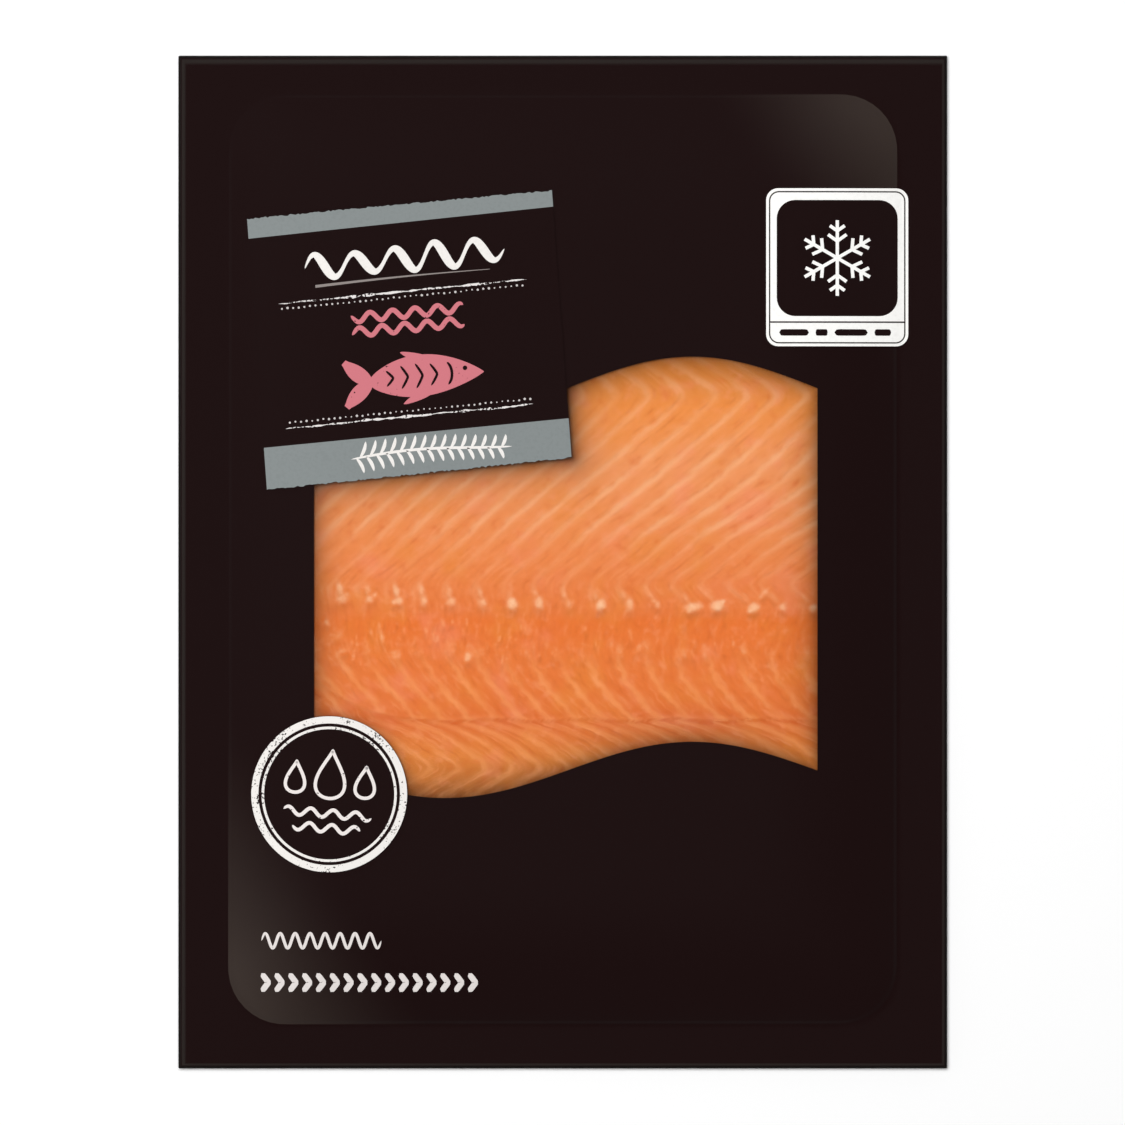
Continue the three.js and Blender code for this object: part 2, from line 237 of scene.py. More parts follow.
class FishLook(PropertyGroup):
    """Sizes and colours of the slices."""

    depth: length("Depth", "From the front's face down to the fish", 0.58)
    groove: length("Groove", "Depth of the groove along a sheet of fat", 0.08)
    lap: length("Lap", "Height of the step where the belly flakes begin", 0.05)
    mesh_step: length("Mesh step", "Spacing of the fish's mesh", 0.45)
    fat: colour("Fat", "Sheets of fat between the flakes", "#ffc493")
    low_fat: colour("Low fat", "Sheets of fat below the lateral line", "#ffae6e")
    spot: colour("Spots", "Spots and patches of fat", "#ffd0a6")
    deep: colour("Deep flesh", "Flesh where the belly flakes begin", "#c4581f")


class PrintLook(PropertyGroup):
    """Colours of the print, and of the painted sheen and the painted rim highlight on the front."""

    black: colour("Black", "The pack's ground", "#1b0e0e")
    # Painted sheen: a grey gradient laid on the black film at two of the pillow's corners.
    painted_sheen: colour("Bloom", "Haze where the film is drawn thin at two corners", "#382f2b")
    # Painted highlight: a thin lighter band just inside the front's outer edge, widest along the
    # top and the left.
    rim: colour("Rim", "The front's outer rim, where the film is thick", "#27211f")
    grey: colour("Grey", "Bands along the label's top and bottom", "#838989")
    pink: colour("Pink", "Figures on the label", "#cd767f")
    white: colour("White", "The panel", "#fbfaf7")
    marks: colour("Marks", "Marks on the label, and the badge's rings", "#ece8e4")
    line: colour("Line", "The line under the label's wave", "#8d8481")


class StageLook(PropertyGroup):
    """The floor, the camera and the lights."""

    view: length("View", "Width and height of the camera's view at the pack", 244.44)
    distance: length("Distance", "Height of the camera above the floor", 6000.0)
    floor: colour("Floor", "Colour of the floor", "#fafafa")
    key: FloatProperty(name="Key light", description="Power of the overhead light",
                       default=38.4, min=0.0, unit="POWER")
    seed: IntProperty(name="Seed", description="Start of every random draw", default=7)


def setting(group, name):
    """One of a group's settings: a length in millimetres, or a colour."""
    value = getattr(getattr(bpy.context.scene, group), name)
    return value / MM if isinstance(value, float) else tuple(value)


shape = partial(setting, "salmon_pack_shape")
fish = partial(setting, "salmon_pack_fish")
ink = partial(setting, "salmon_pack_print")


def random_draws(job):
    """A random source of its own for one job, the same on each run."""
    return np.random.default_rng(bpy.context.scene.salmon_pack_stage.seed * 100 + job)


# ---- surfaces and outlines


def fade(value, start, end, before=0.0, after=1.0):
    """Goes smoothly from one number to another while a value goes from start to end."""
    t = np.clip((value - start) / (end - start), 0, 1)
    return before + (after - before) * (t * t * (3 - 2 * t))


def hump(value, middle, width):
    """1 at a middle, and less and less on both sides of it."""
    return np.exp(-((value - middle) / width) ** 2)


def pairs(x, y):
    """Places from their two numbers, either of which may be the same for all."""
    return np.stack(np.broadcast_arrays(x, y), -1)


def pillow_level(x, y):
    """1 at the pillow's foot and beyond, falling to 0 where its flat middle begins."""
    from_side = PILLOW_WIDTH / 2 - np.abs(x)
    from_end = PILLOW_HEIGHT / 2 - np.abs(y - PILLOW_CENTRE_Y)
    apart = np.minimum(np.abs(from_side - from_end), PILLOW_CORNER)
    cut = PILLOW_CORNER - (np.sqrt(2 * PILLOW_CORNER**2 - apart**2) + apart) / 2
    return np.clip(1 - (np.minimum(from_side, from_end) - cut) / SLOPE_WIDTH, 0, 1)


def front_height(x, y):
    """Height of the front's face."""
    level = pillow_level(x, y)
    step = fade((1 - level) * SLOPE_WIDTH, 0, STEP_WIDTH, 0, shape("step"))
    return FLANGE_TOP + step + shape("crown") * (1 - level**2)


def bridged_height(x, y):
    """Height of a sticker that spans the step at the pillow's right foot."""
    return np.mean([front_height(x - shift, y) for shift in np.linspace(*PANEL_SPAN, 9)], axis=0)


def window_edges(x):
    """Heights of the window's bottom and top."""
    wave = np.cos(FULL_TURN * (x - WAVE_CREST_X) / WAVE_PERIOD)
    return WINDOW_BOTTOM + BOTTOM_WAVE * wave, WINDOW_TOP + TOP_WAVE * wave


def window_outline(along, up):
    """Points round the window, anticlockwise from its bottom left, with so many on each side."""
    x = np.linspace(WINDOW_LEFT, WINDOW_RIGHT, along + 1)
    low, high = window_edges(x)
    share = np.linspace(0, 1, up + 1)
    sides = (pairs(x, low), pairs(WINDOW_RIGHT, low[-1] + (high[-1] - low[-1]) * share),
             pairs(x, high)[::-1], pairs(WINDOW_LEFT, high[0] + (low[0] - high[0]) * share))
    return np.concatenate([side[:-1] for side in sides])


def label_distance(x, y):
    """How far a point lies outside the label."""
    dx, dy = x - LABEL_CENTRE[0], y - LABEL_CENTRE[1]
    spread = math.cos(LABEL_RISE - LABEL_LEAN)
    u = (dx * math.cos(LABEL_LEAN) + dy * math.sin(LABEL_LEAN)) / spread
    v = (dy * math.cos(LABEL_RISE) - dx * math.sin(LABEL_RISE)) / spread
    over_u = np.clip(np.abs(u) - LABEL_WIDTH / 2, 0, None)
    over_v = np.clip(np.abs(v) - LABEL_HEIGHT / 2, 0, None)
    return np.hypot(over_u, over_v)


def placed(centre, rise=0.0, lean=0.0):
    """What turns places about a middle, along widths that rise and up heights that lean, to the
    pack's."""
    across, up = (math.cos(rise), math.sin(rise)), (-math.sin(lean), math.cos(lean))

    def place(path):
        path = np.asarray(path, float)
        return centre + path[:, :1] * across + path[:, 1:] * up

    return place


on_label = placed(LABEL_CENTRE, LABEL_RISE, LABEL_LEAN)
on_badge = placed(BADGE_CENTRE, BADGE_TILT, BADGE_TILT)
on_panel = placed(PANEL_CENTRE)
on_front = placed((0.0, 0.0))


# ---- meshes


def grid_faces(rows, columns, wrap=False):
    """Quads between points that are stored row by row; wrap joins the last column to the first."""
    row, column = np.mgrid[0:rows - 1, 0:columns if wrap else columns - 1]
    after = (column + 1) % columns
    corners = (row * columns + column, row * columns + after,
               (row + 1) * columns + after, (row + 1) * columns + column)
    return np.stack([c.ravel() for c in corners], -1).tolist()


def border_of(faces):
    """The directed edges that only one face has."""
    edges = {edge for face in faces for edge in zip(face, face[1:] + face[:1])}
    return sorted((a, b) for a, b in edges if (b, a) not in edges)


def slab(points, faces, top, bottom):
    """The closed solid over flat points and their faces, between two heights."""
    count = len(points)
    vertices = np.concatenate([np.column_stack([points, top]), np.column_stack([points, bottom])])
    under = [[count + corner for corner in reversed(face)] for face in faces]
    walls = [[b, a, count + a, count + b] for a, b in border_of(faces)]
    return vertices, faces + under + walls


def joined(parts):
    """Several (vertices, faces) as one."""
    vertices, faces, start = [], [], 0
    for part_vertices, part_faces in parts:
        vertices.append(part_vertices)
        faces += [[start + corner for corner in face] for face in part_faces]
        start += len(part_vertices)
    return np.concatenate(vertices), faces


def laid(points, faces, lift, thickness, surface=front_height):
    """A thin closed layer whose face lies at a lift above a surface."""
    points = np.asarray(points, float).reshape(-1, 2)
    height = surface(points[:, 0], points[:, 1]) + lift
    return slab(points, faces, height, height - thickness)


def ribbon(path, half_width, across=2, closed=False):
    """Points and faces of a flat strip along a path, whose half width may vary."""
    path = np.asarray(path, float)
    if closed:
        forward = np.roll(path, -1, 0) - np.roll(path, 1, 0)
    else:
        forward = np.gradient(path, axis=0)
    forward /= np.linalg.norm(forward, axis=1, keepdims=True)
    left = np.stack([-forward[:, 1], forward[:, 0]], -1) * np.broadcast_to(
        half_width, len(path))[:, None]
    points = [path + left * share for share in np.linspace(-1, 1, across + 1)]
    return np.concatenate(points), grid_faces(across + 1, len(path), wrap=closed)


def stroke(path, half_width, place, lift, ends=0.0, across=2, closed=False,
           surface=front_height):
    """One printed line: a ribbon laid on a face, with its path in that face's own terms. It has
    soft round ends where a number is given for them, and the larger that is, the shorter."""
    if ends:
        share = np.abs(np.linspace(-1, 1, len(path)))
        half_width = half_width * np.maximum(THINNEST, (1 - share ** (2 * ends)) ** 0.5)
    points, faces = ribbon(path, half_width, across, closed)
    return laid(place(points), faces, lift, 2 * shape("ink"), surface)


def wavy(start, end, count, level, rise, period, phase=0.0):
    """A path along an even wave."""
    u = np.linspace(start, end, count)
    return pairs(u, level + rise * np.sin(FULL_TURN * u / period + phase))


def filled_loop(loop, rings=10):
    """Points and faces over the inside of a loop round the origin."""
    count = len(loop)
    points = np.concatenate([[[0.0, 0.0]], *[loop * (n / rings) for n in range(1, rings + 1)]])
    fan = [[0, 1 + k, 1 + (k + 1) % count] for k in range(count)]
    bands = [[1 + c for c in reversed(face)] for face in grid_faces(rings, count, wrap=True)]
    return points, fan + bands


def circle(radius, segments=120):
    """Points round the origin."""
    turn = np.linspace(0, FULL_TURN, segments, endpoint=False)
    return pairs(radius * np.cos(turn), radius * np.sin(turn))


def rounded_loop(width, height, corner, per_corner=8, per_side=12):
    """Points round a rectangle with round corners, anticlockwise about its middle."""
    arcs = []
    for quarter, (sx, sy) in enumerate(((1, -1), (1, 1), (-1, 1), (-1, -1))):
        turn = np.radians(np.linspace(-90, 0, per_corner + 1) + 90 * quarter)
        middle = np.array([sx * (width / 2 - corner), sy * (height / 2 - corner)])
        arcs.append(middle + corner * pairs(np.cos(turn), np.sin(turn)))
    share = np.linspace(0, 1, per_side + 1)[1:-1, None]
    points = []
    for arc, following in zip(arcs, arcs[1:] + arcs[:1]):
        points += [arc, arc[-1] + (following[0] - arc[-1]) * share]
    return np.concatenate(points)


def add_piece(name, mesh_parts, materials, replaced=(), face_materials=None, smooth=35):
    """Adds a piece to the scene, on the pack's one body, and hides the nodes it stands for."""
    vertices, faces = mesh_parts
    mesh = bpy.data.meshes.new(name)
    mesh.from_pydata((np.asarray(vertices) * MM).tolist(), [], faces)
    for material in materials:
        mesh.materials.append(material)
    if face_materials is not None:
        mesh.polygons.foreach_set("material_index", face_materials)
    mesh.shade_smooth()
    mesh.set_sharp_from_angle(angle=math.radians(smooth))
    mesh.update()
    piece = bpy.data.objects.new(name, mesh)
    bpy.context.scene.collection.objects.link(piece)
    settle(piece, replaced)
    return piece


def settle(piece, replaced=()):
    """Fixes a finished piece to the body, and hides the nodes that it replaces."""
    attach(piece, BODY)
    if replaced:
        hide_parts(*replaced)


# ---- materials


def add(tree, kind, inputs=None, **settings):
    """Adds a node with its settings, and feeds its inputs from values, sockets or other nodes,
    a node standing for the first of its outputs that is in use."""
    made = tree.nodes.new(kind)
    for name, value in settings.items():
        setattr(made, name, value)
    for key, value in (inputs or {}).items():
        if isinstance(value, Node):
            value = next(output for output in value.outputs if output.enabled)
        if isinstance(value, NodeSocket):
            tree.links.new(value, made.inputs[key])
        else:
            made.inputs[key].default_value = value
    return made


def new_material(name, inputs, *noises):
    """A material with one Principled shader, its tree, its place in millimetres, and a noise for
    each size of patch, in millimetres, with its amount of detail."""
    material = bpy.data.materials.new(name)
    material.use_nodes = True
    tree = material.node_tree
    shader = tree.nodes["Principled BSDF"]
    for key, value in inputs.items():
        shader.inputs[key].default_value = value
    corner = add(tree, "ShaderNodeTexCoord").outputs["Object"]
    place = add(tree, "ShaderNodeMapping", {"Vector": corner, "Scale": (1 / MM,) * 3})
    patterns = [add(tree, "ShaderNodeTexNoise",
                    {"Vector": place, "Scale": 1 / size, "Detail": detail})
                for size, detail in noises]
    return material, tree, shader, place, *patterns


def layered(tree, tone, *layers):
    """Lays colours over a tone. A layer has a value, where it starts to show and where it shows
    in full, its strength there, and its colour."""
    for value, start, full, strength, laid_colour in layers:
        shown = add(tree, "ShaderNodeMapRange",
                    {"Value": value, "From Min": start, "From Max": full, "To Max": strength},
                    interpolation_type="SMOOTHSTEP")
        tone = add(tree, "ShaderNodeMix", {0: shown, 6: tone, 7: laid_colour}, data_type="RGBA")
    return tone


def finish(tree, shader, tone, relief=None, depth=0.0):
    """Gives a shader its tone, and a relief of a depth in millimetres."""
    tree.links.new(next(output for output in tone.outputs if output.enabled),
                   shader.inputs["Base Color"])
    if relief:
        bump = add(tree, "ShaderNodeBump", {"Height": relief, "Distance": depth * MM})
        tree.links.new(bump.outputs[0], shader.inputs["Normal"])


def dyed_board():
    """Black-dyed paperboard with a thin coating: dull, with a fine fibre in its face."""
    material, tree, shader, _, fibre = new_material(
        "Black-dyed board", {"Roughness": 0.62}, (0.6, 3.0))
    tone = layered(tree, srgb("#141110"), (fibre, 0.3, 0.7, 1.0, srgb("#201b19")))
    finish(tree, shader, tone, fibre, 0.02)
    return material


def black_film(name, roughness, wave_size, wave_depth, painted_sheen):
    """Black gravure print under polyester film, with slow waves of a size in the film, a painted
    grey sheen of a strength at two corners and a painted highlight along a thin band inside its
    rim."""
    material, tree, shader, place, waves = new_material(
        name, {"Roughness": roughness, "Specular IOR Level": 0.33}, (wave_size, 1.0))
    # Painted sheen along one slanting axis, strongest at two of the pillow's corners.
    along = add(tree, "ShaderNodeVectorMath", {0: place, 1: PAINTED_SHEEN_AXIS}, operation="DOT_PRODUCT")
    off = add(tree, "ShaderNodeMath", {0: along.outputs["Value"], 1: PAINTED_SHEEN_MIDDLE},
              operation="SUBTRACT")
    reach = add(tree, "ShaderNodeMath", {0: off}, operation="ABSOLUTE")
    # Painted rim highlight: a lighter band inside the film's edge, with the very edge laid back to
    # black.
    spot = add(tree, "ShaderNodeSeparateXYZ", {0: place}).outputs
    gaps = [add(tree, "ShaderNodeMath",
                {0: spot[axis], 1: -way * narrower, 2: FRONT_HALF[axis] * narrower},
                operation="MULTIPLY_ADD")
            for axis, way, narrower in PAINTED_RIM_SIDES]
    rim = gaps[0]
    for gap in gaps[1:]:
        rim = add(tree, "ShaderNodeMath", {0: rim, 1: gap}, operation="MINIMUM")
    tone = layered(tree, ink("black"), (reach, PAINTED_SHEEN_START, PAINTED_SHEEN_END, painted_sheen, ink("painted_sheen")),
                   (rim, 1.3, 0.7, 1.0, ink("rim")), (rim, 0.35, 0.15, 1.0, ink("black")))
    finish(tree, shader, tone, waves, wave_depth)
    return material


def clear_film():
    """Clear polyester film: seen only by what it reflects, which grows as the eye goes lower."""
    material, tree, shader, _, waves = new_material(
        "Clear polyester film",
        {"Base Color": (1, 1, 1, 1), "Metallic": 1.0, "Roughness": 0.08}, (9, 1.0))
    bump = add(tree, "ShaderNodeBump", {"Height": waves, "Distance": 0.25 * MM})
    tree.links.new(bump.outputs[0], shader.inputs["Normal"])
    facing = add(tree, "ShaderNodeLayerWeight", {"Normal": bump}).outputs["Facing"]
    grazing = add(tree, "ShaderNodeMath", {0: facing, 1: 5.0}, operation="POWER")
    share = add(tree, "ShaderNodeMapRange", {"Value": grazing, "To Min": 0.04})
    clear = add(tree, "ShaderNodeBsdfTransparent", {"Color": (1, 1, 1, 1)})
    both = add(tree, "ShaderNodeMixShader", {0: share, 1: clear, 2: shader})
    tree.links.new(both.outputs[0], tree.nodes["Material Output"].inputs["Surface"])
    return material


def salmon_flesh():
    """Cold-smoked salmon: moist, see-through orange muscle with soft pale sheets of fat between
    the flakes, and white fat where they meet the lateral line."""
    material, tree, shader, place, cloud, mottle, curd = new_material(
        "Cold-smoked salmon", {"Roughness": 0.36}, (9, 2.0), (2.6, 3.0), (1.1, 2.0))
    uv = add(tree, "ShaderNodeUVMap", uv_map="flakes")
    flake = add(tree, "ShaderNodeSeparateXYZ", {0: uv}).outputs
    stored = {name: add(tree, "ShaderNodeAttribute", attribute_name=name).outputs["Fac"]
              for name in FISH_FIELDS}

    # Tone by height over the side of fish.
    lowest, highest = FLESH_TONES[0][0], FLESH_TONES[-1][0]
    height = add(tree, "ShaderNodeSeparateXYZ", {0: place}).outputs["Y"]
    sway = add(tree, "ShaderNodeMapRange", {"Value": cloud, "To Min": -0.8, "To Max": 0.8})
    uneven = add(tree, "ShaderNodeMath", {0: height, 1: sway})
    share = add(tree, "ShaderNodeMapRange",
                {"Value": uneven, "From Min": lowest, "From Max": highest})
    tone = add(tree, "ShaderNodeValToRGB", {0: share})
    ramp = tone.color_ramp.elements
    ramp.remove(ramp[1])
    for at, (level, value) in enumerate(FLESH_TONES):
        step = ramp[0] if at == 0 else ramp.new((level - lowest) / (highest - lowest))
        step.color = srgb(value)

    # Fibres that run with the flakes, fine across them and long.
    stretched = add(tree, "ShaderNodeVectorMath", {0: uv, 1: (4.5, 0.25, 1.0)},
                    operation="MULTIPLY")
    fibre = add(tree, "ShaderNodeTexNoise", {"Vector": stretched, "Scale": 1.0, "Detail": 2.0})

    # Distance from the nearest sheet of fat, which wavers, in half widths of the sheet.
    waver = add(tree, "ShaderNodeMapRange", {"Value": mottle, "To Min": -0.14, "To Max": 0.14})
    count = add(tree, "ShaderNodeMath", {0: flake["X"], 1: waver})
    nearest = add(tree, "ShaderNodeMath", {0: count}, operation="ROUND")
    off = add(tree, "ShaderNodeMath", {0: count, 1: nearest}, operation="SUBTRACT")
    size = add(tree, "ShaderNodeMath", {0: off}, operation="ABSOLUTE")

    # Each sheet is plainer in some places than in others.
    sheet, down = (
        add(tree, "ShaderNodeMath", {0: value, 1: scale}, operation="MULTIPLY")
        for value, scale in ((nearest, 7.3), (flake["Y"], 0.16)))
    along = add(tree, "ShaderNodeCombineXYZ", {0: sheet, 1: down})
    fickle = add(tree, "ShaderNodeTexNoise", {"Vector": along, "Scale": 1.0, "Detail": 2.0})
    plain = add(tree, "ShaderNodeMapRange",
                {"Value": fickle, "From Min": 0.3, "From Max": 0.7, "To Min": 0.35, "To Max": 1.0})
    strength = add(tree, "ShaderNodeMath", {0: stored["fat"], 1: plain}, operation="MULTIPLY")
    distance, glow, core, light, dark = (
        add(tree, "ShaderNodeMath", {0: value, 1: scale}, operation="MULTIPLY")
        for value, scale in ((size, stored["spacing"]), (strength, 0.2), (strength, 0.4),
                             (stored["fibres"], 0.5), (stored["fibres"], 0.45)))
    curdled = add(tree, "ShaderNodeMath", {0: curd, 1: 0.9, 2: stored["spots"]},
                  operation="MULTIPLY_ADD")

    fat = layered(tree, fish("fat"), (height, -8.0, -16.0, 1.0, fish("low_fat")))
    tone = layered(
        tree, tone,
        (cloud, 0.5, 0.75, 0.45, srgb("#ea8d3a")),
        (cloud, 0.46, 0.25, 0.45, srgb("#f6906c")),
        (mottle, 0.52, 0.8, 0.4, srgb("#f8a070")),
        (mottle, 0.48, 0.2, 0.35, srgb("#dc6624")),
        (fibre, 0.5, 0.8, light, srgb("#f9a673")),
        (fibre, 0.48, 0.2, dark, fish("deep")),
        (distance, 2.3, 0.6, glow, fat),
        (distance, 1.1, 0.2, core, fat),
        (stored["under"], 0.0, 1.0, 0.2, fish("deep")),
        (stored["edges"], 0.0, 1.0, 0.3, fat),
        (stored["spots"], 0.05, 0.9, 0.5, fat),
        (curdled, 0.6, 1.9, 0.9, fish("spot")),
    )
    # Painted shade beside the print, the label and the badge, and below the spots, multiplied into
    # the colour.
    shade = add(tree, "ShaderNodeCombineXYZ", {at: stored["shade"] for at in range(3)})
    tone = add(tree, "ShaderNodeMix", {0: 1.0, 6: tone, 7: shade}, data_type="RGBA",
               blend_type="MULTIPLY")
    finish(tree, shader, tone, mottle, 0.12)
    return material


def flat_ink(name, tone, roughness=0.5):
    """Solid ink on a paper sticker: even, with the paper's faint tooth."""
    material, tree, shader, _, tooth = new_material(
        name, {"Roughness": roughness, "Specular IOR Level": 0.33}, (0.7, 2.0))
    darker = tuple(c * 0.9 for c in tone[:3]) + (1.0,)
    finish(tree, shader, layered(tree, tone, (tooth, 0.4, 0.8, 0.7, darker)), tooth, 0.01)
    return material


def worn_ink(name, tone, wear, size):
    """Ink printed with gaps, like chalk, through which the black ground shows."""
    material, tree, shader, _, gaps, patches = new_material(
        name, {"Roughness": 0.6}, (size, 4.0), (6, 1.0))
    worst = add(tree, "ShaderNodeMapRange",
                {"Value": patches, "From Min": 0.35, "From Max": 0.65, "To Min": wear + 0.08,
                 "To Max": wear - 0.08})
    left = add(tree, "ShaderNodeMath", {0: gaps, 1: worst}, operation="SUBTRACT")
    finish(tree, shader, layered(tree, ink("black"), (left, -0.04, 0.03, 1.0, tone)))
    return material


# ---- repeated things


def dotted_tree():
    """Puts a flat round dot on each point of a row, each a little larger or smaller."""
    tree = bpy.data.node_groups.new("Printed dots", "GeometryNodeTree")
    tree.interface.new_socket("Geometry", in_out="OUTPUT", socket_type="NodeSocketGeometry")
    inputs = {"Geometry": "Geometry", "Radius": "Float", "Thickness": "Float", "Least": "Float",
              "Most": "Float", "Seed": "Int", "Material": "Material"}
    for title, kind in inputs.items():
        tree.interface.new_socket(title, in_out="INPUT", socket_type="NodeSocket" + kind)
    given = add(tree, "NodeGroupInput").outputs
    dot = add(tree, "GeometryNodeMeshCylinder",
              {"Vertices": 10, "Radius": given["Radius"], "Depth": given["Thickness"]})
    size = add(tree, "FunctionNodeRandomValue",
               {"Min": given["Least"], "Max": given["Most"], "Seed": given["Seed"]},
               data_type="FLOAT")
    on_points = add(tree, "GeometryNodeInstanceOnPoints",
                    {"Points": given["Geometry"], "Instance": dot.outputs["Mesh"], "Scale": size})
    real = add(tree, "GeometryNodeRealizeInstances", {"Geometry": on_points})
    finished = add(tree, "GeometryNodeSetMaterial",
                   {"Geometry": real, "Material": given["Material"]})
    add(tree, "NodeGroupOutput", {0: finished})
    return tree


def add_repeated(name, points, tree, values):
    """Runs a node tree on loose points and adds the plain mesh that it makes."""
    seeds = bpy.data.meshes.new(name + "_points")
    seeds.from_pydata((np.asarray(points) * MM).tolist(), [], [])
    piece = bpy.data.objects.new(name, seeds)
    bpy.context.scene.collection.objects.link(piece)
    modifier = piece.modifiers.new(tree.name, "NODES")
    modifier.node_group = tree
    for socket in tree.interface.items_tree:
        if socket.name in values:
            modifier[socket.identifier] = values[socket.name]
    graph = bpy.context.evaluated_depsgraph_get()
    mesh = bpy.data.meshes.new_from_object(piece.evaluated_get(graph))
    piece.modifiers.remove(modifier)
    piece.data = mesh
    mesh.name = name
    mesh.shade_smooth()
    mesh.set_sharp_from_angle(angle=math.radians(60))
    settle(piece)


# ---- board, front and film


def board_mesh():
    """The board, with its edges eased."""
    width, height, top = BOARD_HIGH - BOARD_LOW
    loops = []
    for z, inset in ((0.0, BOARD_EASE), (BOARD_EASE, 0.0), (top - BOARD_EASE, 0.0),
                     (top, BOARD_EASE)):
        loop = rounded_loop(width - 2 * inset, height - 2 * inset, BOARD_CORNER)
        loops.append(np.column_stack([loop, np.full(len(loop), z)]))
    count = len(loops[0])
    faces = grid_faces(len(loops), count, wrap=True)
    faces.append([*reversed(range(count))])
    faces.append([*range((len(loops) - 1) * count, len(loops) * count)])
    return np.concatenate(loops), faces


def pillow_spokes(per_corner, along, up):
    """Where each spoke leaves the pillow's flat middle, and its direction, anticlockwise from
    the bottom left. Each side has its own spokes and half a fan of them at each end."""
    middle = np.array([PILLOW_WIDTH / 2 - SLOPE_WIDTH, PILLOW_HEIGHT / 2 - SLOPE_WIDTH])
    corners = np.array([(-1, -1), (1, -1), (1, 1), (-1, 1)]) * middle
    starts, turns = [], []
    for side in range(4):
        here, there = corners[side], corners[(side + 1) % 4]
        facing = 270 + 90 * side
        steps = up if side % 2 else along
        fan = np.linspace(45, 0, per_corner + 1)[:-1]
        share = np.linspace(0, 1, steps + 1)[:, None]
        starts += [here] * per_corner + list(here + (there - here) * share)
        starts += [there] * (per_corner - 1)
        turns += [*(facing - fan), *[facing] * (steps + 1), *(facing + fan[:0:-1])]
    turns = np.radians(turns)
    return np.array(starts) + (0, PILLOW_CENTRE_Y), pairs(np.cos(turns), np.sin(turns))


def front_mesh():
    """The printed front: rings from the window's edge out to the flange's, as a closed shell.
    Also gives each face's material, 1 on the pillow and 0 on the flange."""
    per_corner, along, up = 14, 62, 96
    starts, directions = pillow_spokes(per_corner, along, up)
    window = window_outline(along + 2 * per_corner, up + 2 * per_corner)

    # Each spoke runs to a straight side of the pillow's foot or to a round corner.
    side = SLOPE_WIDTH - PILLOW_CORNER
    towards = side * np.abs(directions).sum(1)
    bent = towards + np.sqrt(np.clip(towards**2 - 2 * side**2 + PILLOW_CORNER**2, 0, None))
    straight = SLOPE_WIDTH / np.abs(directions).max(1)
    reach = np.where(np.abs(directions).min(1) * straight < side, straight, bent)

    def at_level(level):
        return starts + directions * (level * reach)[:, None]

    def at_inset(inset):
        gap = np.abs(np.sign(directions) * (FRONT_HALF - inset) - starts)
        return starts + gap * directions / np.abs(directions).max(1, keepdims=True)

    def between(inner, outer, shares):
        return [inner + (outer - inner) * share for share in shares]

    inner, foot = at_level(1 - STEP_WIDTH / SLOPE_WIDTH), at_level(1.0)
    round_width = shape("edge_round")
    rings = between(window, inner, np.linspace(0, 1, 30))
    rings += between(inner, foot, (0.2, 0.4, 0.6, 0.8, 1.0))
    pillow_rings = len(rings) - 1
    rings += between(foot, at_inset(round_width), (0.12, 0.3, 0.5, 0.7, 0.88))
    across = np.sin(np.linspace(0, math.pi / 2, 7))
    rings += [at_inset(round_width * (1 - share)) for share in across]

    points = np.concatenate(rings)
    count = len(window)
    faces = [face[::-1] for face in grid_faces(len(rings), count, wrap=True)]
    top = front_height(points[:, 0], points[:, 1])
    fall = np.zeros(len(points))
    fall[-len(across) * count:] = np.repeat(shape("edge_drop") * (1 - np.sqrt(1 - across**2)),
                                            count)
    flange = FLANGE_TOP - BOARD_HIGH[2] - FLANGE_GAP
    level = pillow_level(points[:, 0], points[:, 1])
    thickness = shape("film") + (flange - shape("film")) * level**4
    mesh_parts = slab(points, faces, top - fall, top - thickness)
    on_pillow = np.arange(len(faces)) < pillow_rings * count
    walls = len(mesh_parts[1]) - 2 * len(faces)
    return mesh_parts, np.concatenate([on_pillow, on_pillow, np.zeros(walls)]).astype(int)


def window_patch(margin, spacing):
    """Rows and columns of points over the window's shape, grown by a margin."""
    columns = int((WINDOW_RIGHT - WINDOW_LEFT + 2 * margin) / spacing)
    x = np.linspace(WINDOW_LEFT - margin, WINDOW_RIGHT + margin, columns)
    low, high = window_edges(x)
    low, high = low - margin, high + margin
    share = np.linspace(0, 1, int((high - low).max() / spacing))[:, None]
    y = low + (high - low) * share
    return np.broadcast_to(x, y.shape), y


def film_mesh():
    """The clear film in the window, which runs on a little way under the print."""
    x, y = window_patch(FILM_OVERLAP, 1.2)
    return laid(pairs(x, y), grid_faces(*x.shape), -FILM_SINK, FILM_THICKNESS)


# ---- fish


def sheet_shifts(y):
    """How far the sheets of fat stand to the right at each height, at the left and the right.
    Their folds are rounded over a few millimetres."""
    level, left, right = np.array(SHEET_COURSE[::-1]).T
    fine = np.arange(level[0], level[-1], 0.25)
    bell = hump(np.arange(-9, 10), 0, 2.8 * math.sqrt(2))
    rounded = [np.convolve(np.interp(fine, level, side), bell / bell.sum(), "same")
               for side in (left, right)]
    return [np.interp(y, fine, side) for side in rounded]


def sheet_place(number):
    """Where a sheet of fat meets the lateral line."""
    return SHEET_START + SHEET_PITCH * number + SHEET_SPREAD * number**2


def seam_height(x):
    """Height of the edge of the belly flakes."""
    bend = np.clip(SEAM_BEND_X - x, 0, None) / SEAM_BEND_WIDTH
    return SEAM_Y + SEAM_BEND_RISE * bend**1.6 + 0.25 * np.sin(x / 3.1)


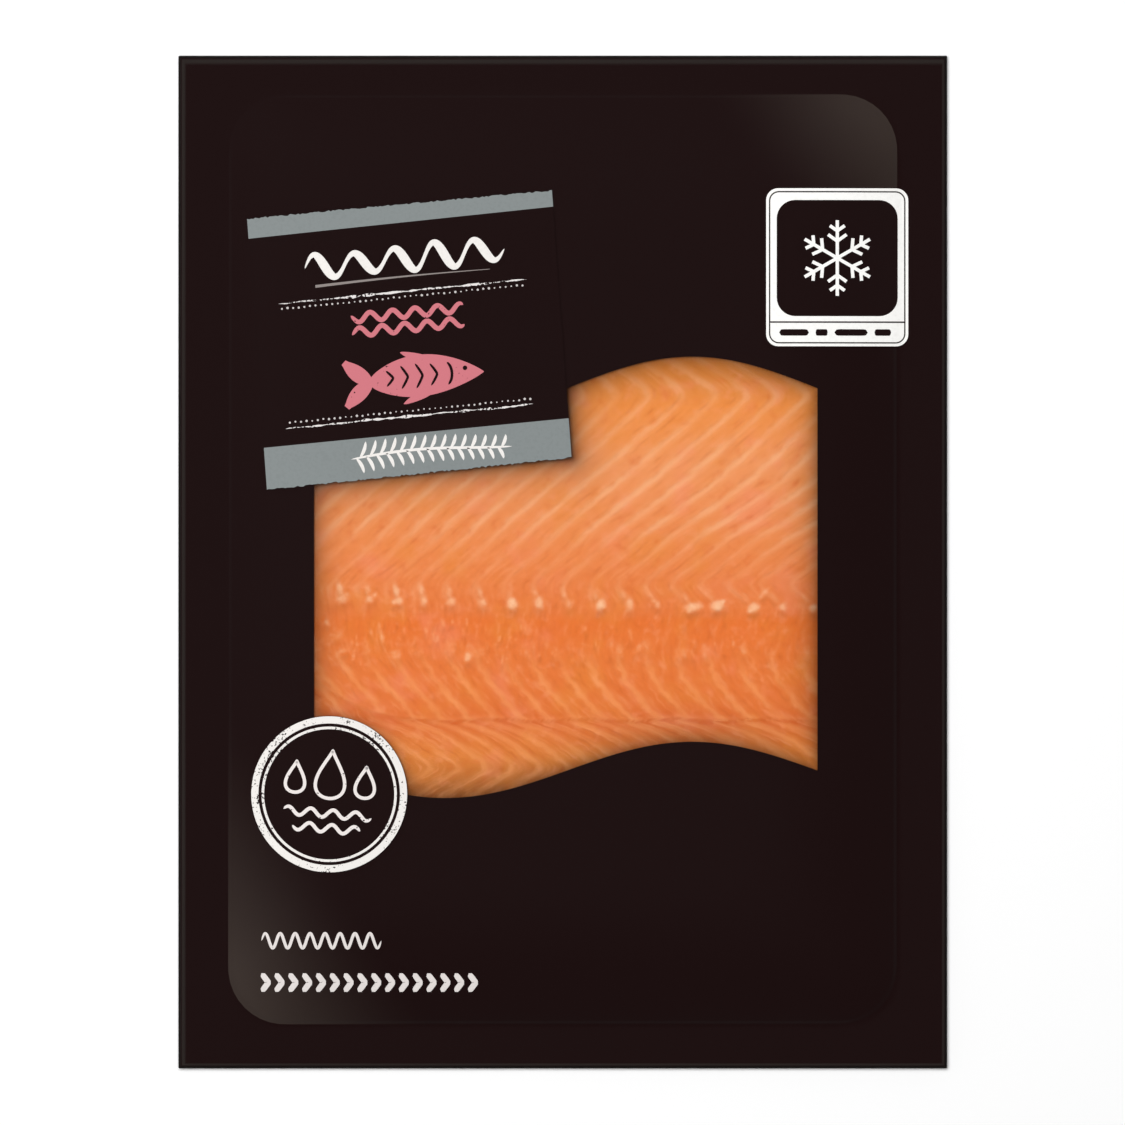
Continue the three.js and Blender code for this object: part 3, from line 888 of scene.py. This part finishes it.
def flake_count(x, y):
    """The count of sheets of fat at each point, a whole number on a sheet."""
    numbers = np.arange(-16.0, 20.0)
    left, right = sheet_shifts(y)

    # The sheets up to the first of these numbers run as at the left, and then, over a span of
    # more of them, more and more as at the right.
    late, early = fade(y, 10.5, 2.5), fade(y, 20, 32)
    first = np.where(y > LATERAL_Y, 5.0 * late - 3 - early, -6.0)
    span = np.where(y > LATERAL_Y, 11 - 3.0 * late - 5 * early, 13.0)
    count = np.full(x.shape, numbers[0])
    for row in range(len(y)):
        share = fade(numbers[:, None], first[row], first[row] + span[row])
        sheets = sheet_place(numbers)[:, None] + left[row] * (1 - share) + right[row] * share
        for column in range(x.shape[1]):
            count[row, column] = np.interp(x[row, column], sheets[:, column], numbers)
    kinks = np.sin(2.3 * y + 1.3 * x) + np.sin(1.1 * y - 2.1 * x + 2)
    count += fade(y, -18, -24, 0, 0.022) * kinks
    return count + BELLY_SHIFT * (y < seam_height(x))


def painted_edge_shade(x, y):
    """Painted shade: how much of its colour the fish keeps beside the print's edge, the label and
    the badge.
    """
    from_print = np.full(x.shape, np.inf)
    for place in window_outline(120, 90):
        from_print = np.minimum(from_print, np.hypot(x - place[0], y - place[1]))
    low, high = window_edges(x)
    from_print[(x < WINDOW_LEFT) | (x > WINDOW_RIGHT) | (y > high) | (y < low)] = 0
    from_badge = np.hypot(x - BADGE_CENTRE[0], y - BADGE_CENTRE[1]) - BADGE_RADIUS
    light = np.ones(x.shape)
    for (dark, reach), distance in ((PRINT_SHADE, from_print),
                                    (LABEL_SHADE, label_distance(x, y)),
                                    (BADGE_SHADE, np.clip(from_badge, 0, None))):
        light *= 1 - dark * np.exp(-distance / reach)
    return light


def fat_strength(x, y):
    """How plainly the sheets of fat show: not at all in the band below the lateral line."""
    upper = fade(y, 1, 9, 0.35, 1.0) * fade(y, 22, 30, 1.0, 0.7) * fade(y, -7, -2)
    upper *= fade(x, -30, 20, 0.8, 1.0) * fade(y, 38, 41, 1.0, 0.45)
    feet = 0.4 * hump(y, LATERAL_Y + 3.3, 2.6)
    lower = fade(y, -18, -25, 0.0, 0.88) * fade(y, SEAM_Y, SEAM_Y - 3, 1.0, 0.9)
    return np.maximum.reduce([upper, feet, lower])


def fat_spots(x, y):
    """How plainly fat shows in spots: one where each sheet meets the lateral line, drawn out
    along the sheet above it, a patch where each of the lower sheets begins, and flecks."""
    random = random_draws(FAT_DRAWS)
    shown = np.zeros(x.shape)

    def spread(at_x, at_y, half_width, half_height, lean, strength):
        dx, dy = x - at_x, y - at_y
        u = (dx * math.cos(lean) + dy * math.sin(lean)) / half_width
        v = (dy * math.cos(lean) - dx * math.sin(lean)) / half_height
        np.maximum(shown, strength * np.exp(-u**2 - v**2), out=shown)

    for number, spot in enumerate(LATERAL_SPOTS, FIRST_SPOT):
        aside, half_width, half_height, lean, strength = spot
        wide, high, longer = random.uniform(-1, 1, 3)
        right = fade(number, -1, 9)
        at_x = sheet_place(number) + 1.0 - 0.05 * number + aside
        at_y = LATERAL_Y + 0.3 - 0.02 * at_x + 0.2 * high
        spread(at_x, at_y, half_width, half_height, lean, strength)
        spread(at_x + 1.1 * wide, at_y + 0.9 * high, 0.8, 0.7, 0.5 * wide, 0.85 * strength)
        spread(at_x - 0.5 - 1.2 * right, at_y + 2.1, 0.8 - 0.1 * right, 1.9 + 0.4 * longer,
               0.2 + 0.5 * right, (0.58 - 0.26 * right) * (1 + 0.3 * longer))
    left, right = sheet_shifts(LOWER_START_Y)
    for number in range(FIRST_SPOT - 1, FIRST_SPOT + len(LATERAL_SPOTS) + 1):
        wide, aside, up = random.uniform(-1, 1, 3)
        at_x = sheet_place(number) + fade(number, -6, 7, left, right) + 1.5 * aside
        spread(at_x, LOWER_START_Y + up, 1.4 + 0.5 * wide, 1.9 + 0.4 * up, 0.15,
               0.4 + 0.1 * aside)
        spread(at_x - 2.8 - wide, LOWER_START_Y + 2.2 + 1.5 * wide, 0.6, 1.8 + 0.5 * aside, 0.1,
               0.32 + 0.1 * up)
    for _ in range(FLECKS):
        at_x = WINDOW_RIGHT - 6 - 104 * random.uniform() ** 0.45
        at_y = FLECK_Y + FLECK_SPREAD * random.uniform(-1, 1)
        spread(at_x, at_y, random.uniform(0.3, 0.6), random.uniform(0.5, 1.5),
               random.uniform(-0.1, 0.3), random.uniform(0.12, 0.5))
    for patch in LOOSE_FAT:
        spread(*patch)
    return shown


def make_fish():
    """The slices' one visible face, with its flakes, closed by sides and an underside."""
    x, y = window_patch(FISH_OVERLAP, fish("mesh_step"))
    rows, columns = x.shape
    count, strength, spots = flake_count(x, y), fat_strength(x, y), fat_spots(x, y)
    above = y - seam_height(x)

    # A groove along each sheet of fat, a low swell, the belly's lap, and spots that stand proud.
    groove = fade(np.abs(count - np.round(count)), 0, 0.2, -fish("groove"), 0.0)
    swell = 0.05 * np.sin(x / 8.3 + 1.1 * np.sin(y / 12)) * np.sin(y / 9.1 + 0.7)
    lap = fish("lap") * fade(above, -0.4, 0.4, -0.5, 0.5) * np.exp(-np.abs(above) / 6)
    height = front_height(x, y) - fish("depth")
    height += groove * strength + swell + lap + 0.06 * spots

    top = np.stack([x, y, height], -1).reshape(-1, 3)
    cell = np.arange(len(top)).reshape(rows, columns)
    rim = np.concatenate([cell[0], cell[1:, -1], cell[-1, -2::-1], cell[-2:0:-1, 0]])
    base = top[rim]
    base[:, 2] = BOARD_HIGH[2] + FISH_GAP
    start, edge = len(top), len(rim)
    faces = grid_faces(rows, columns)
    for at in range(edge):
        after = (at + 1) % edge
        faces.append([int(rim[after]), int(rim[at]), start + at, start + after])
    faces.append([start + at for at in reversed(range(edge))])
    piece = add_piece("salmon", (np.concatenate([top, base]), faces), [salmon_flesh()],
                      ["salmon_slices"], smooth=60)

    # How the count changes across and up gives the width of a flake.
    rise = np.gradient(count, axis=0) / np.gradient(y, axis=0)
    slant = np.gradient(y, axis=1) / np.gradient(x, axis=1)
    run = np.gradient(count, axis=1) / np.gradient(x, axis=1) - rise * slant
    half_width = 0.8 + 0.3 * hump(y, 36.8, 2.0)
    lateral = 0.2 * hump(y, LATERAL_Y - 0.4, 0.5) * fade(x, -20, 20)
    # Painted shadow: the colour darkens a little just below each spot of fat.
    painted_spot_shadow = np.clip(np.roll(spots, -3, axis=0) - spots, 0, None)
    fields = {
        "spacing": np.minimum(1 / np.hypot(rise, run), 7.0) / half_width,
        "fat": strength,
        "spots": spots,
        "fibres": fade(above, 1, -1, 0.6, 1.0),
        "under": np.where(above < 0, np.exp(above / 1.1), hump(above, 0, 0.4)),
        "edges": np.maximum(lateral, 0.4 * hump(above, 0.5, 0.7)),
        "shade": painted_edge_shade(x, y) * (1 - 0.22 * painted_spot_shadow),
    }
    mesh = piece.data
    for name in FISH_FIELDS:
        values = fields[name].ravel()
        layer = mesh.attributes.new(name, "FLOAT", "POINT")
        layer.data.foreach_set("value", np.concatenate([values, values[rim]]).astype(np.float32))
    corner = np.empty(len(mesh.loops), np.int64)
    mesh.loops.foreach_get("vertex_index", corner)
    flat = pairs(count, y).reshape(-1, 2)
    flat = np.concatenate([flat, flat[rim]])[corner].astype(np.float32)
    mesh.uv_layers.new(name="flakes").data.foreach_set("uv", flat.ravel())


# ---- label


def chalk_line(random, start, end, level, half_width):
    """A line of chalk: uneven in width, and not quite straight."""
    count = int((end - start) / 0.45)
    drift, swell = (np.convolve(random.uniform(-1, 1, count + reach - 1),
                                np.ones(reach) / reach, "valid") for reach in (7, 3))
    path = pairs(np.linspace(start, end, count), level + 0.3 * drift)
    return path, np.clip(half_width * (0.7 + swell), 0.07, None)


def label_sheet(low, high, rows, lift, thickness):
    """A part of the label between two edges, each a height for each column."""
    u = np.linspace(-0.5, 0.5, len(low)) * LABEL_WIDTH
    v = low + (high - low) * np.linspace(0, 1, rows)[:, None]
    points = on_label(pairs(u, v).reshape(-1, 2))
    return laid(points, grid_faces(rows, len(low)), lift, thickness)


def sea_wave():
    """A wave drawn with a broad pen, thicker where it falls, with its path and half widths."""
    u = np.linspace(-21.5, 22.0, 260)
    turn = FULL_TURN * (u - u[0]) / 8.7
    v = WAVE_V + (2.5 + 0.35 * np.sin(u / 5)) * np.sin(turn)
    return pairs(u, v), 0.68 - 0.29 * np.cos(turn)


def fish_figure(lift):
    """The plain figure of a fish that faces right: its body, tail and fins."""
    share = np.linspace(0, 1, 60)
    spine = pairs(-9.0 + 24.6 * share, FIGURE_V + 0.5 * np.sin(math.pi * share))
    body = 0.8 * (1 - share) + 4.1 * np.sin(math.pi * share**0.9) ** 0.8
    body[-1] = 0.1
    parts = [stroke(spine, body, on_label, lift, across=8)]
    along = np.linspace(0, 1, 14)
    for side in (-1, 1):
        tail = pairs(-8.6 - 6.0 * along, FIGURE_V + side * 4.9 * along**1.3)
        width = 0.4 + 1.3 * np.sin(math.pi * np.clip(along, 0, 0.96)) ** 0.8
        parts.append(stroke(tail, width, on_label, lift - 0.01 - 0.004 * side, across=4))
        fin = pairs(3.2 - 5.4 * along, FIGURE_V + 0.3 + side * (2.9 + 2.7 * along**0.8))
        parts.append(stroke(fin, 1.3 * (1 - along) ** 0.7 + 0.06, on_label,
                            lift - 0.02 - 0.004 * side, across=3))
    return parts


def fish_details(lift):
    """Dark lines on the figure: its flakes, its gill and its eye."""
    parts = []
    for start, reach in ((-5.6, 1.7), (-2.4, 2.5), (0.8, 2.7), (4.0, 2.4)):
        v = np.linspace(-reach, reach, 18)
        path = pairs(start + 1.5 - 1.5 * (np.abs(v) / reach) ** 1.2, FIGURE_V + 0.5 + v)
        parts.append(stroke(path, 0.28, on_label, lift, ends=2.5))
    turn = np.linspace(-1.05, 1.05, 18)
    gill = pairs(6.8 + 1.9 * np.cos(turn), FIGURE_V + 0.4 + 2.8 * np.sin(turn))
    parts.append(stroke(gill, 0.3, on_label, lift, ends=2.5))
    points, faces = filled_loop(circle(0.5, 16), rings=1)
    eye = on_label(points + (11.6, FIGURE_V + 1.2))
    return joined([*parts, laid(eye, faces, lift, 2 * shape("ink"))])


def dill_sprig(lift):
    """A plain sprig of dill along the lower band: a bent stem with pairs of slim leaves."""
    def stem(u):
        return pairs(u, SPRIG_V + 0.7 * np.sin((u + 14) / 8))

    parts = [stroke(stem(np.linspace(-14.5, 20.5, 60)), 0.3, on_label, lift, ends=2.5)]
    along = np.linspace(0, 1, 10)
    for number, root in enumerate(np.arange(-13.0, 19.0, 2.2)):
        for side in (-1, 1):
            turn = side * (0.8 + 0.35 * along)
            leaf = (3.7 - 0.06 * number) * pairs(along * np.cos(turn), along * np.sin(turn))
            parts.append(stroke(stem(root + 0.4 * side) + leaf, 0.39, on_label,
                                lift + 0.006 * (number % 2 + side), ends=0.8))
    return joined(parts)


def make_label():
    """The tilted label: its torn sheet, its bands, and the marks from its top to its foot."""
    random = random_draws(LABEL_DRAWS)
    face, layer = shape("sticker"), shape("ink")
    on_ground, on_band = face + layer, face + 2 * layer
    black = flat_ink("Black label ink", ink("black"))
    white = flat_ink("White label ink", ink("marks"))

    columns = 150
    edge = LABEL_HEIGHT / 2
    deeper = np.linspace(0.4, 0.0, columns)
    low = -edge - deeper + random.uniform(-0.16, 0.2, columns)
    high = edge + deeper + random.uniform(-0.2, 0.16, columns)
    add_piece("label_ground", label_sheet(low, high, 34, face, face - 0.02), [black],
              ["label"])
    bands = [label_sheet(UPPER_BAND_V - deeper, high, 6, on_ground, 2 * layer),
             label_sheet(low, LOWER_BAND_V + 0.3 * deeper, 9, on_ground, 2 * layer)]
    add_piece("label_bands", joined(bands), [flat_ink("Grey label ink", ink("grey"))])

    path, half_width = sea_wave()
    add_piece("label_wave", stroke(path, half_width, on_label, on_ground, ends=8, across=3),
              [white])
    u = np.linspace(-19.5, 18.5, 60)
    underline = stroke(pairs(u, 13.4 + 0.25 * np.cos(u / 12)), np.linspace(0.3, 0.06, 60),
                       on_label, on_ground)
    add_piece("label_underline", underline, [flat_ink("Dusty grey ink", ink("line"))])

    lines = [chalk_line(random, -27.8, 26.3, 10.4, 0.25),
             chalk_line(random, -28.3, 25.8, -16.7, 0.25)]
    add_piece("label_chalk_lines",
              joined([stroke(*line, on_label, on_ground, ends=2.5) for line in lines]),
              [worn_ink("Chalk-white ink", srgb("#e6e1df"), 0.42, 0.45)])
    dots = []
    for start, end, level in ((-27.1, 25.6, 9.25), (-27.2, 26.4, -15.5)):
        u = np.arange(start, end, 1.22)
        dots.append(pairs(u, level + random.uniform(-0.1, 0.1, len(u))))
    spots = on_label(np.concatenate(dots))
    height = front_height(spots[:, 0], spots[:, 1]) + face
    add_repeated("label_dots", np.column_stack([spots, height]), dotted_tree(),
                 {"Radius": 0.24 * MM, "Thickness": 2 * layer * MM, "Least": 0.6, "Most": 1.15,
                  "Seed": 5, "Material": flat_ink("Soft white label ink", srgb("#cbc5c3"))})

    ripples = [stroke(wavy(-12.3, 12.2, 110, level, 0.95, 4.9, level), 0.53, on_label, on_ground,
                      ends=8) for level in (5.7, 2.6)]
    add_piece("label_fish", joined(fish_figure(on_ground) + ripples),
              [worn_ink("Pink label ink", ink("pink"), 0.27, 0.7)])
    add_piece("label_fish_lines", fish_details(on_band), [black])
    add_piece("label_sprig", dill_sprig(on_band), [white])


# ---- badge, panel and foot


def drop(u, v, width, height):
    """The outline of a drop with its tip up."""
    turn = np.linspace(0, FULL_TURN, 60, endpoint=False)
    return pairs(u + 0.65 * width * np.sin(turn) * np.sin(turn / 2) ** 1.5,
                 v + height / 2 * np.cos(turn))


def make_badge():
    """The round badge: two worn rings, and three drops over two ripples."""
    face, layer = shape("sticker"), shape("ink")
    lift = face + layer
    points, faces = filled_loop(circle(BADGE_RADIUS))
    add_piece("badge_ground", laid(on_badge(points), faces, face, face - 0.02),
              [flat_ink("Black badge ink", ink("black"))], ["round_badge"])
    rings = [stroke(circle((inner + outer) / 2), (outer - inner) / 2, on_badge, lift,
                    across=3, closed=True)
             for inner, outer in ((15.38, 16.94), (14.14, 14.7))]
    add_piece("badge_rings", joined(rings), [worn_ink("Worn white ink", ink("marks"), 0.36, 0.5)])
    marks = [stroke(drop(*place), 0.36, on_badge, lift, closed=True)
             for place in ((0.0, 4.3, 7.0, 10.4), (-7.6, 3.2, 4.6, 6.8), (7.6, 3.2, 4.6, 6.8))]
    marks += [stroke(wavy(-reach, reach, 90, level, 0.85, 4.9), 0.4, on_badge, lift, ends=8)
              for level, reach in ((-4.2, 9.6), (-7.4, 7.4))]
    add_piece("badge_marks", joined(marks),
              [worn_ink("Chalk pen ink", srgb("#e9e1de"), 0.3, 0.6)])


def snow_star(centre, radius):
    """The strokes of a six-armed snow crystal."""
    strokes = []

    def line(root, turn, reach):
        tip = np.array([math.cos(turn), math.sin(turn)])
        strokes.append(root + tip * np.linspace(0, reach, 12)[:, None])
        return tip

    for arm in range(6):
        turn = math.radians(30 + 60 * arm)
        out = line(np.array(centre), turn, radius)
        for share, twig in ((0.45, 0.3), (0.72, 0.24)):
            for side in (-1, 1):
                line(centre + out * share * radius, turn + side * math.radians(55),
                     twig * radius)
    return strokes


def make_panel():
    """The corner panel: white, with a thin frame, a snow crystal on a black field, and a strip
    of bars."""
    face, layer = shape("sticker"), shape("ink")
    lift, higher = face + layer, face + 2 * layer
    white = flat_ink("White panel ink", ink("white"), 0.45)
    points, faces = filled_loop(rounded_loop(PANEL_WIDTH, PANEL_HEIGHT, PANEL_CORNER), rings=30)
    add_piece("panel_ground", laid(on_panel(points), faces, face, face - 0.02, bridged_height),
              [white], ["corner_panel"])
    line = partial(stroke, place=on_panel, surface=bridged_height)

    outline = rounded_loop(PANEL_WIDTH - 1.5, PANEL_HEIGHT - 1.5, PANEL_CORNER - 0.6, per_side=40)
    points, faces = filled_loop(rounded_loop(26.3, 25.2, 4.0), rings=30)
    field = laid(on_panel(points + (0, 2.0)), faces, lift, 2 * layer, bridged_height)
    u = np.linspace(-PANEL_WIDTH / 2 + 0.8, PANEL_WIDTH / 2 - 0.8, 80)
    parts = [field, line(outline, 0.14, lift=lift, closed=True),
             line(pairs(u, -11.9), 0.16, lift=lift)]
    start = -12.6
    for width in (6.4, 2.6, 7.2, 3.6):
        bar = pairs(np.linspace(start, start + width, 20), -14.15)
        parts.append(line(bar, 0.7, lift=lift, ends=6))
        start += width + 1.5
    add_piece("panel_marks", joined(parts), [flat_ink("Black panel ink", ink("black"))])
    star = [line(path, 0.36, lift=higher + 0.003 * at)
            for at, path in enumerate(snow_star((0.0, 2.0), 8.2))]
    add_piece("panel_star", joined(star), [white])


def make_foot_lines():
    """Two short ornaments at the foot of the front: a wave, and a row of chevrons like flakes."""
    start, lift = -65.4, 0.04
    wave = wavy(0, 26.0, 200, -82.2, 1.6, 3.25) + (start, 0)
    parts = [stroke(wave, 0.33, on_front, lift, ends=10)]
    v = np.linspace(-2.0, 2.0, 14)
    chevron = pairs(1.5 * (1 - np.abs(v) / 2), v - 91.3)
    parts += [stroke(chevron + (start + at, 0), 0.63, on_front, lift, ends=4)
              for at in np.arange(0, 46.0, 3.0)]
    add_piece("foot_lines", joined(parts), [flat_ink("White front ink", srgb("#e4ddda"))])


# ---- stage


def make_stage(look):
    """A matt white floor under a soft overhead light, between pale walls, seen from above."""
    scene = bpy.context.scene
    scene.view_settings.view_transform = "Standard"
    scene.view_settings.look = "None"

    mesh = bpy.data.meshes.new("floor")
    corners = [(x * FLOOR_HALF, y * FLOOR_HALF, 0) for x, y in ((-1, -1), (1, -1), (1, 1), (-1, 1))]
    mesh.from_pydata(corners, [], [(0, 1, 2, 3)])
    inputs = {"Roughness": 0.9, "Specular IOR Level": 0.1, "Base Color": tuple(look.floor)}
    mesh.materials.append(new_material("Matt white studio floor", inputs)[0])
    floor = bpy.data.objects.new("floor", mesh)
    scene.collection.objects.link(floor)
    floor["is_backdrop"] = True

    world = bpy.data.worlds.new("Pale studio walls under a dark ceiling")
    world.use_nodes = True
    tree = world.node_tree
    up = add(tree, "ShaderNodeSeparateXYZ",
             {0: add(tree, "ShaderNodeTexCoord").outputs["Generated"]}).outputs["Z"]
    walls = add(tree, "ShaderNodeValToRGB",
                {0: add(tree, "ShaderNodeMapRange", {"Value": up, "From Max": 0.76})})
    shades = walls.color_ramp.elements
    shades[0].color, shades[1].color = (0.7, 0.7, 0.7, 1), (0, 0, 0, 1)
    shades.new(0.45).color = (0.2, 0.2, 0.2, 1)
    tree.links.new(walls.outputs[0], tree.nodes["Background"].inputs["Color"])
    scene.world = world

    lens = bpy.data.cameras.new("camera")
    lens.sensor_width = 36.0
    lens.lens = lens.sensor_width * look.distance / look.view
    lens.clip_end = 100.0
    camera = bpy.data.objects.new("camera", lens)
    camera.location = (-0.05 * MM, -0.09 * MM, look.distance)
    scene.collection.objects.link(camera)
    scene.camera = camera

    key = bpy.data.lights.new("key", "AREA")
    key.shape, key.size, key.energy = "SQUARE", KEY_WIDTH, look.key
    lamp = bpy.data.objects.new("key", key)
    lamp.location = KEY_PLACE
    tilt = math.atan2(KEY_PLACE[1], KEY_PLACE[2])
    lamp.rotation_euler = (-tilt, -tilt, 0)
    lamp.visible_camera = False
    lamp.visible_glossy = False
    scene.collection.objects.link(lamp)


# ---- operators


class SALMONPACK_OT_board(Operator):
    """Adds the backing board"""

    bl_idname = "salmon_pack.board"
    bl_label = "Backing board"

    def execute(self, context):
        add_piece("board", board_mesh(), [dyed_board()], ["backing_board"])
        return {"FINISHED"}


class SALMONPACK_OT_front(Operator):
    """Adds the black printed front with its window cut out, and the marks at its foot"""

    bl_idname = "salmon_pack.front"
    bl_label = "Printed front"

    def execute(self, context):
        mesh_parts, face_materials = front_mesh()
        # Only the raised film carries the painted corner sheen; both carry the painted rim
        # highlight.
        films = [black_film("Sealed black film", 0.3, 3.5, 0.01, 0.0),
                 black_film("Raised black film", 0.38, 8.0, 0.08, 2.0)]
        add_piece("printed_front", mesh_parts, films, ["pack_front"], face_materials)
        make_foot_lines()
        return {"FINISHED"}


class SALMONPACK_OT_fish(Operator):
    """Adds the slices of smoked salmon, with their flakes and fat"""

    bl_idname = "salmon_pack.fish"
    bl_label = "Salmon"

    def execute(self, context):
        make_fish()
        return {"FINISHED"}


class SALMONPACK_OT_window(Operator):
    """Adds the clear film over the fish"""

    bl_idname = "salmon_pack.window"
    bl_label = "Clear window"

    def execute(self, context):
        add_piece("clear_window", film_mesh(), [clear_film()], ["window_film"])
        return {"FINISHED"}


class SALMONPACK_OT_label(Operator):
    """Adds the tilted label and its print"""

    bl_idname = "salmon_pack.label"
    bl_label = "Label"

    def execute(self, context):
        make_label()
        return {"FINISHED"}


class SALMONPACK_OT_badge(Operator):
    """Adds the round badge and the corner panel"""

    bl_idname = "salmon_pack.badge"
    bl_label = "Badge and panel"

    def execute(self, context):
        make_badge()
        make_panel()
        return {"FINISHED"}


class SALMONPACK_OT_stage(Operator):
    """Adds the floor, the camera and the lights"""

    bl_idname = "salmon_pack.stage"
    bl_label = "Stage"

    def execute(self, context):
        make_stage(context.scene.salmon_pack_stage)
        return {"FINISHED"}


class SALMONPACK_PT_panel(Panel):
    """Lists the pack's parts in the order that they are made"""

    bl_idname = "SALMONPACK_PT_panel"
    bl_label = "Salmon Pack"
    bl_space_type = "VIEW_3D"
    bl_region_type = "UI"
    bl_category = "Salmon Pack"

    def draw(self, context):
        for step in STEPS:
            self.layout.operator(step.bl_idname)
        for name in SETTINGS:
            settings = getattr(context.scene, name)
            box = self.layout.box()
            for key in settings.__annotations__:
                box.prop(settings, key)


STEPS = (SALMONPACK_OT_board, SALMONPACK_OT_front, SALMONPACK_OT_fish, SALMONPACK_OT_window,
         SALMONPACK_OT_label, SALMONPACK_OT_badge, SALMONPACK_OT_stage)
SETTINGS = {
    "salmon_pack_shape": PackShape,
    "salmon_pack_fish": FishLook,
    "salmon_pack_print": PrintLook,
    "salmon_pack_stage": StageLook,
}
CLASSES = (*SETTINGS.values(), *STEPS, SALMONPACK_PT_panel)


def register():
    for cls in CLASSES:
        bpy.utils.register_class(cls)
    for name, group in SETTINGS.items():
        setattr(bpy.types.Scene, name, PointerProperty(type=group))


def unregister():
    for name in SETTINGS:
        delattr(bpy.types.Scene, name)
    for cls in reversed(CLASSES):
        bpy.utils.unregister_class(cls)


def main():
    """Makes the whole pack."""
    register()
    for step in STEPS:
        getattr(bpy.ops.salmon_pack, step.bl_idname.split(".")[1])()
    boxes = {"cad": CAD_BOX, "visual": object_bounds()}
    {name: [list(corner) for corner in box] for name, box in boxes.items()}


if __name__ == "__main__":
    main()
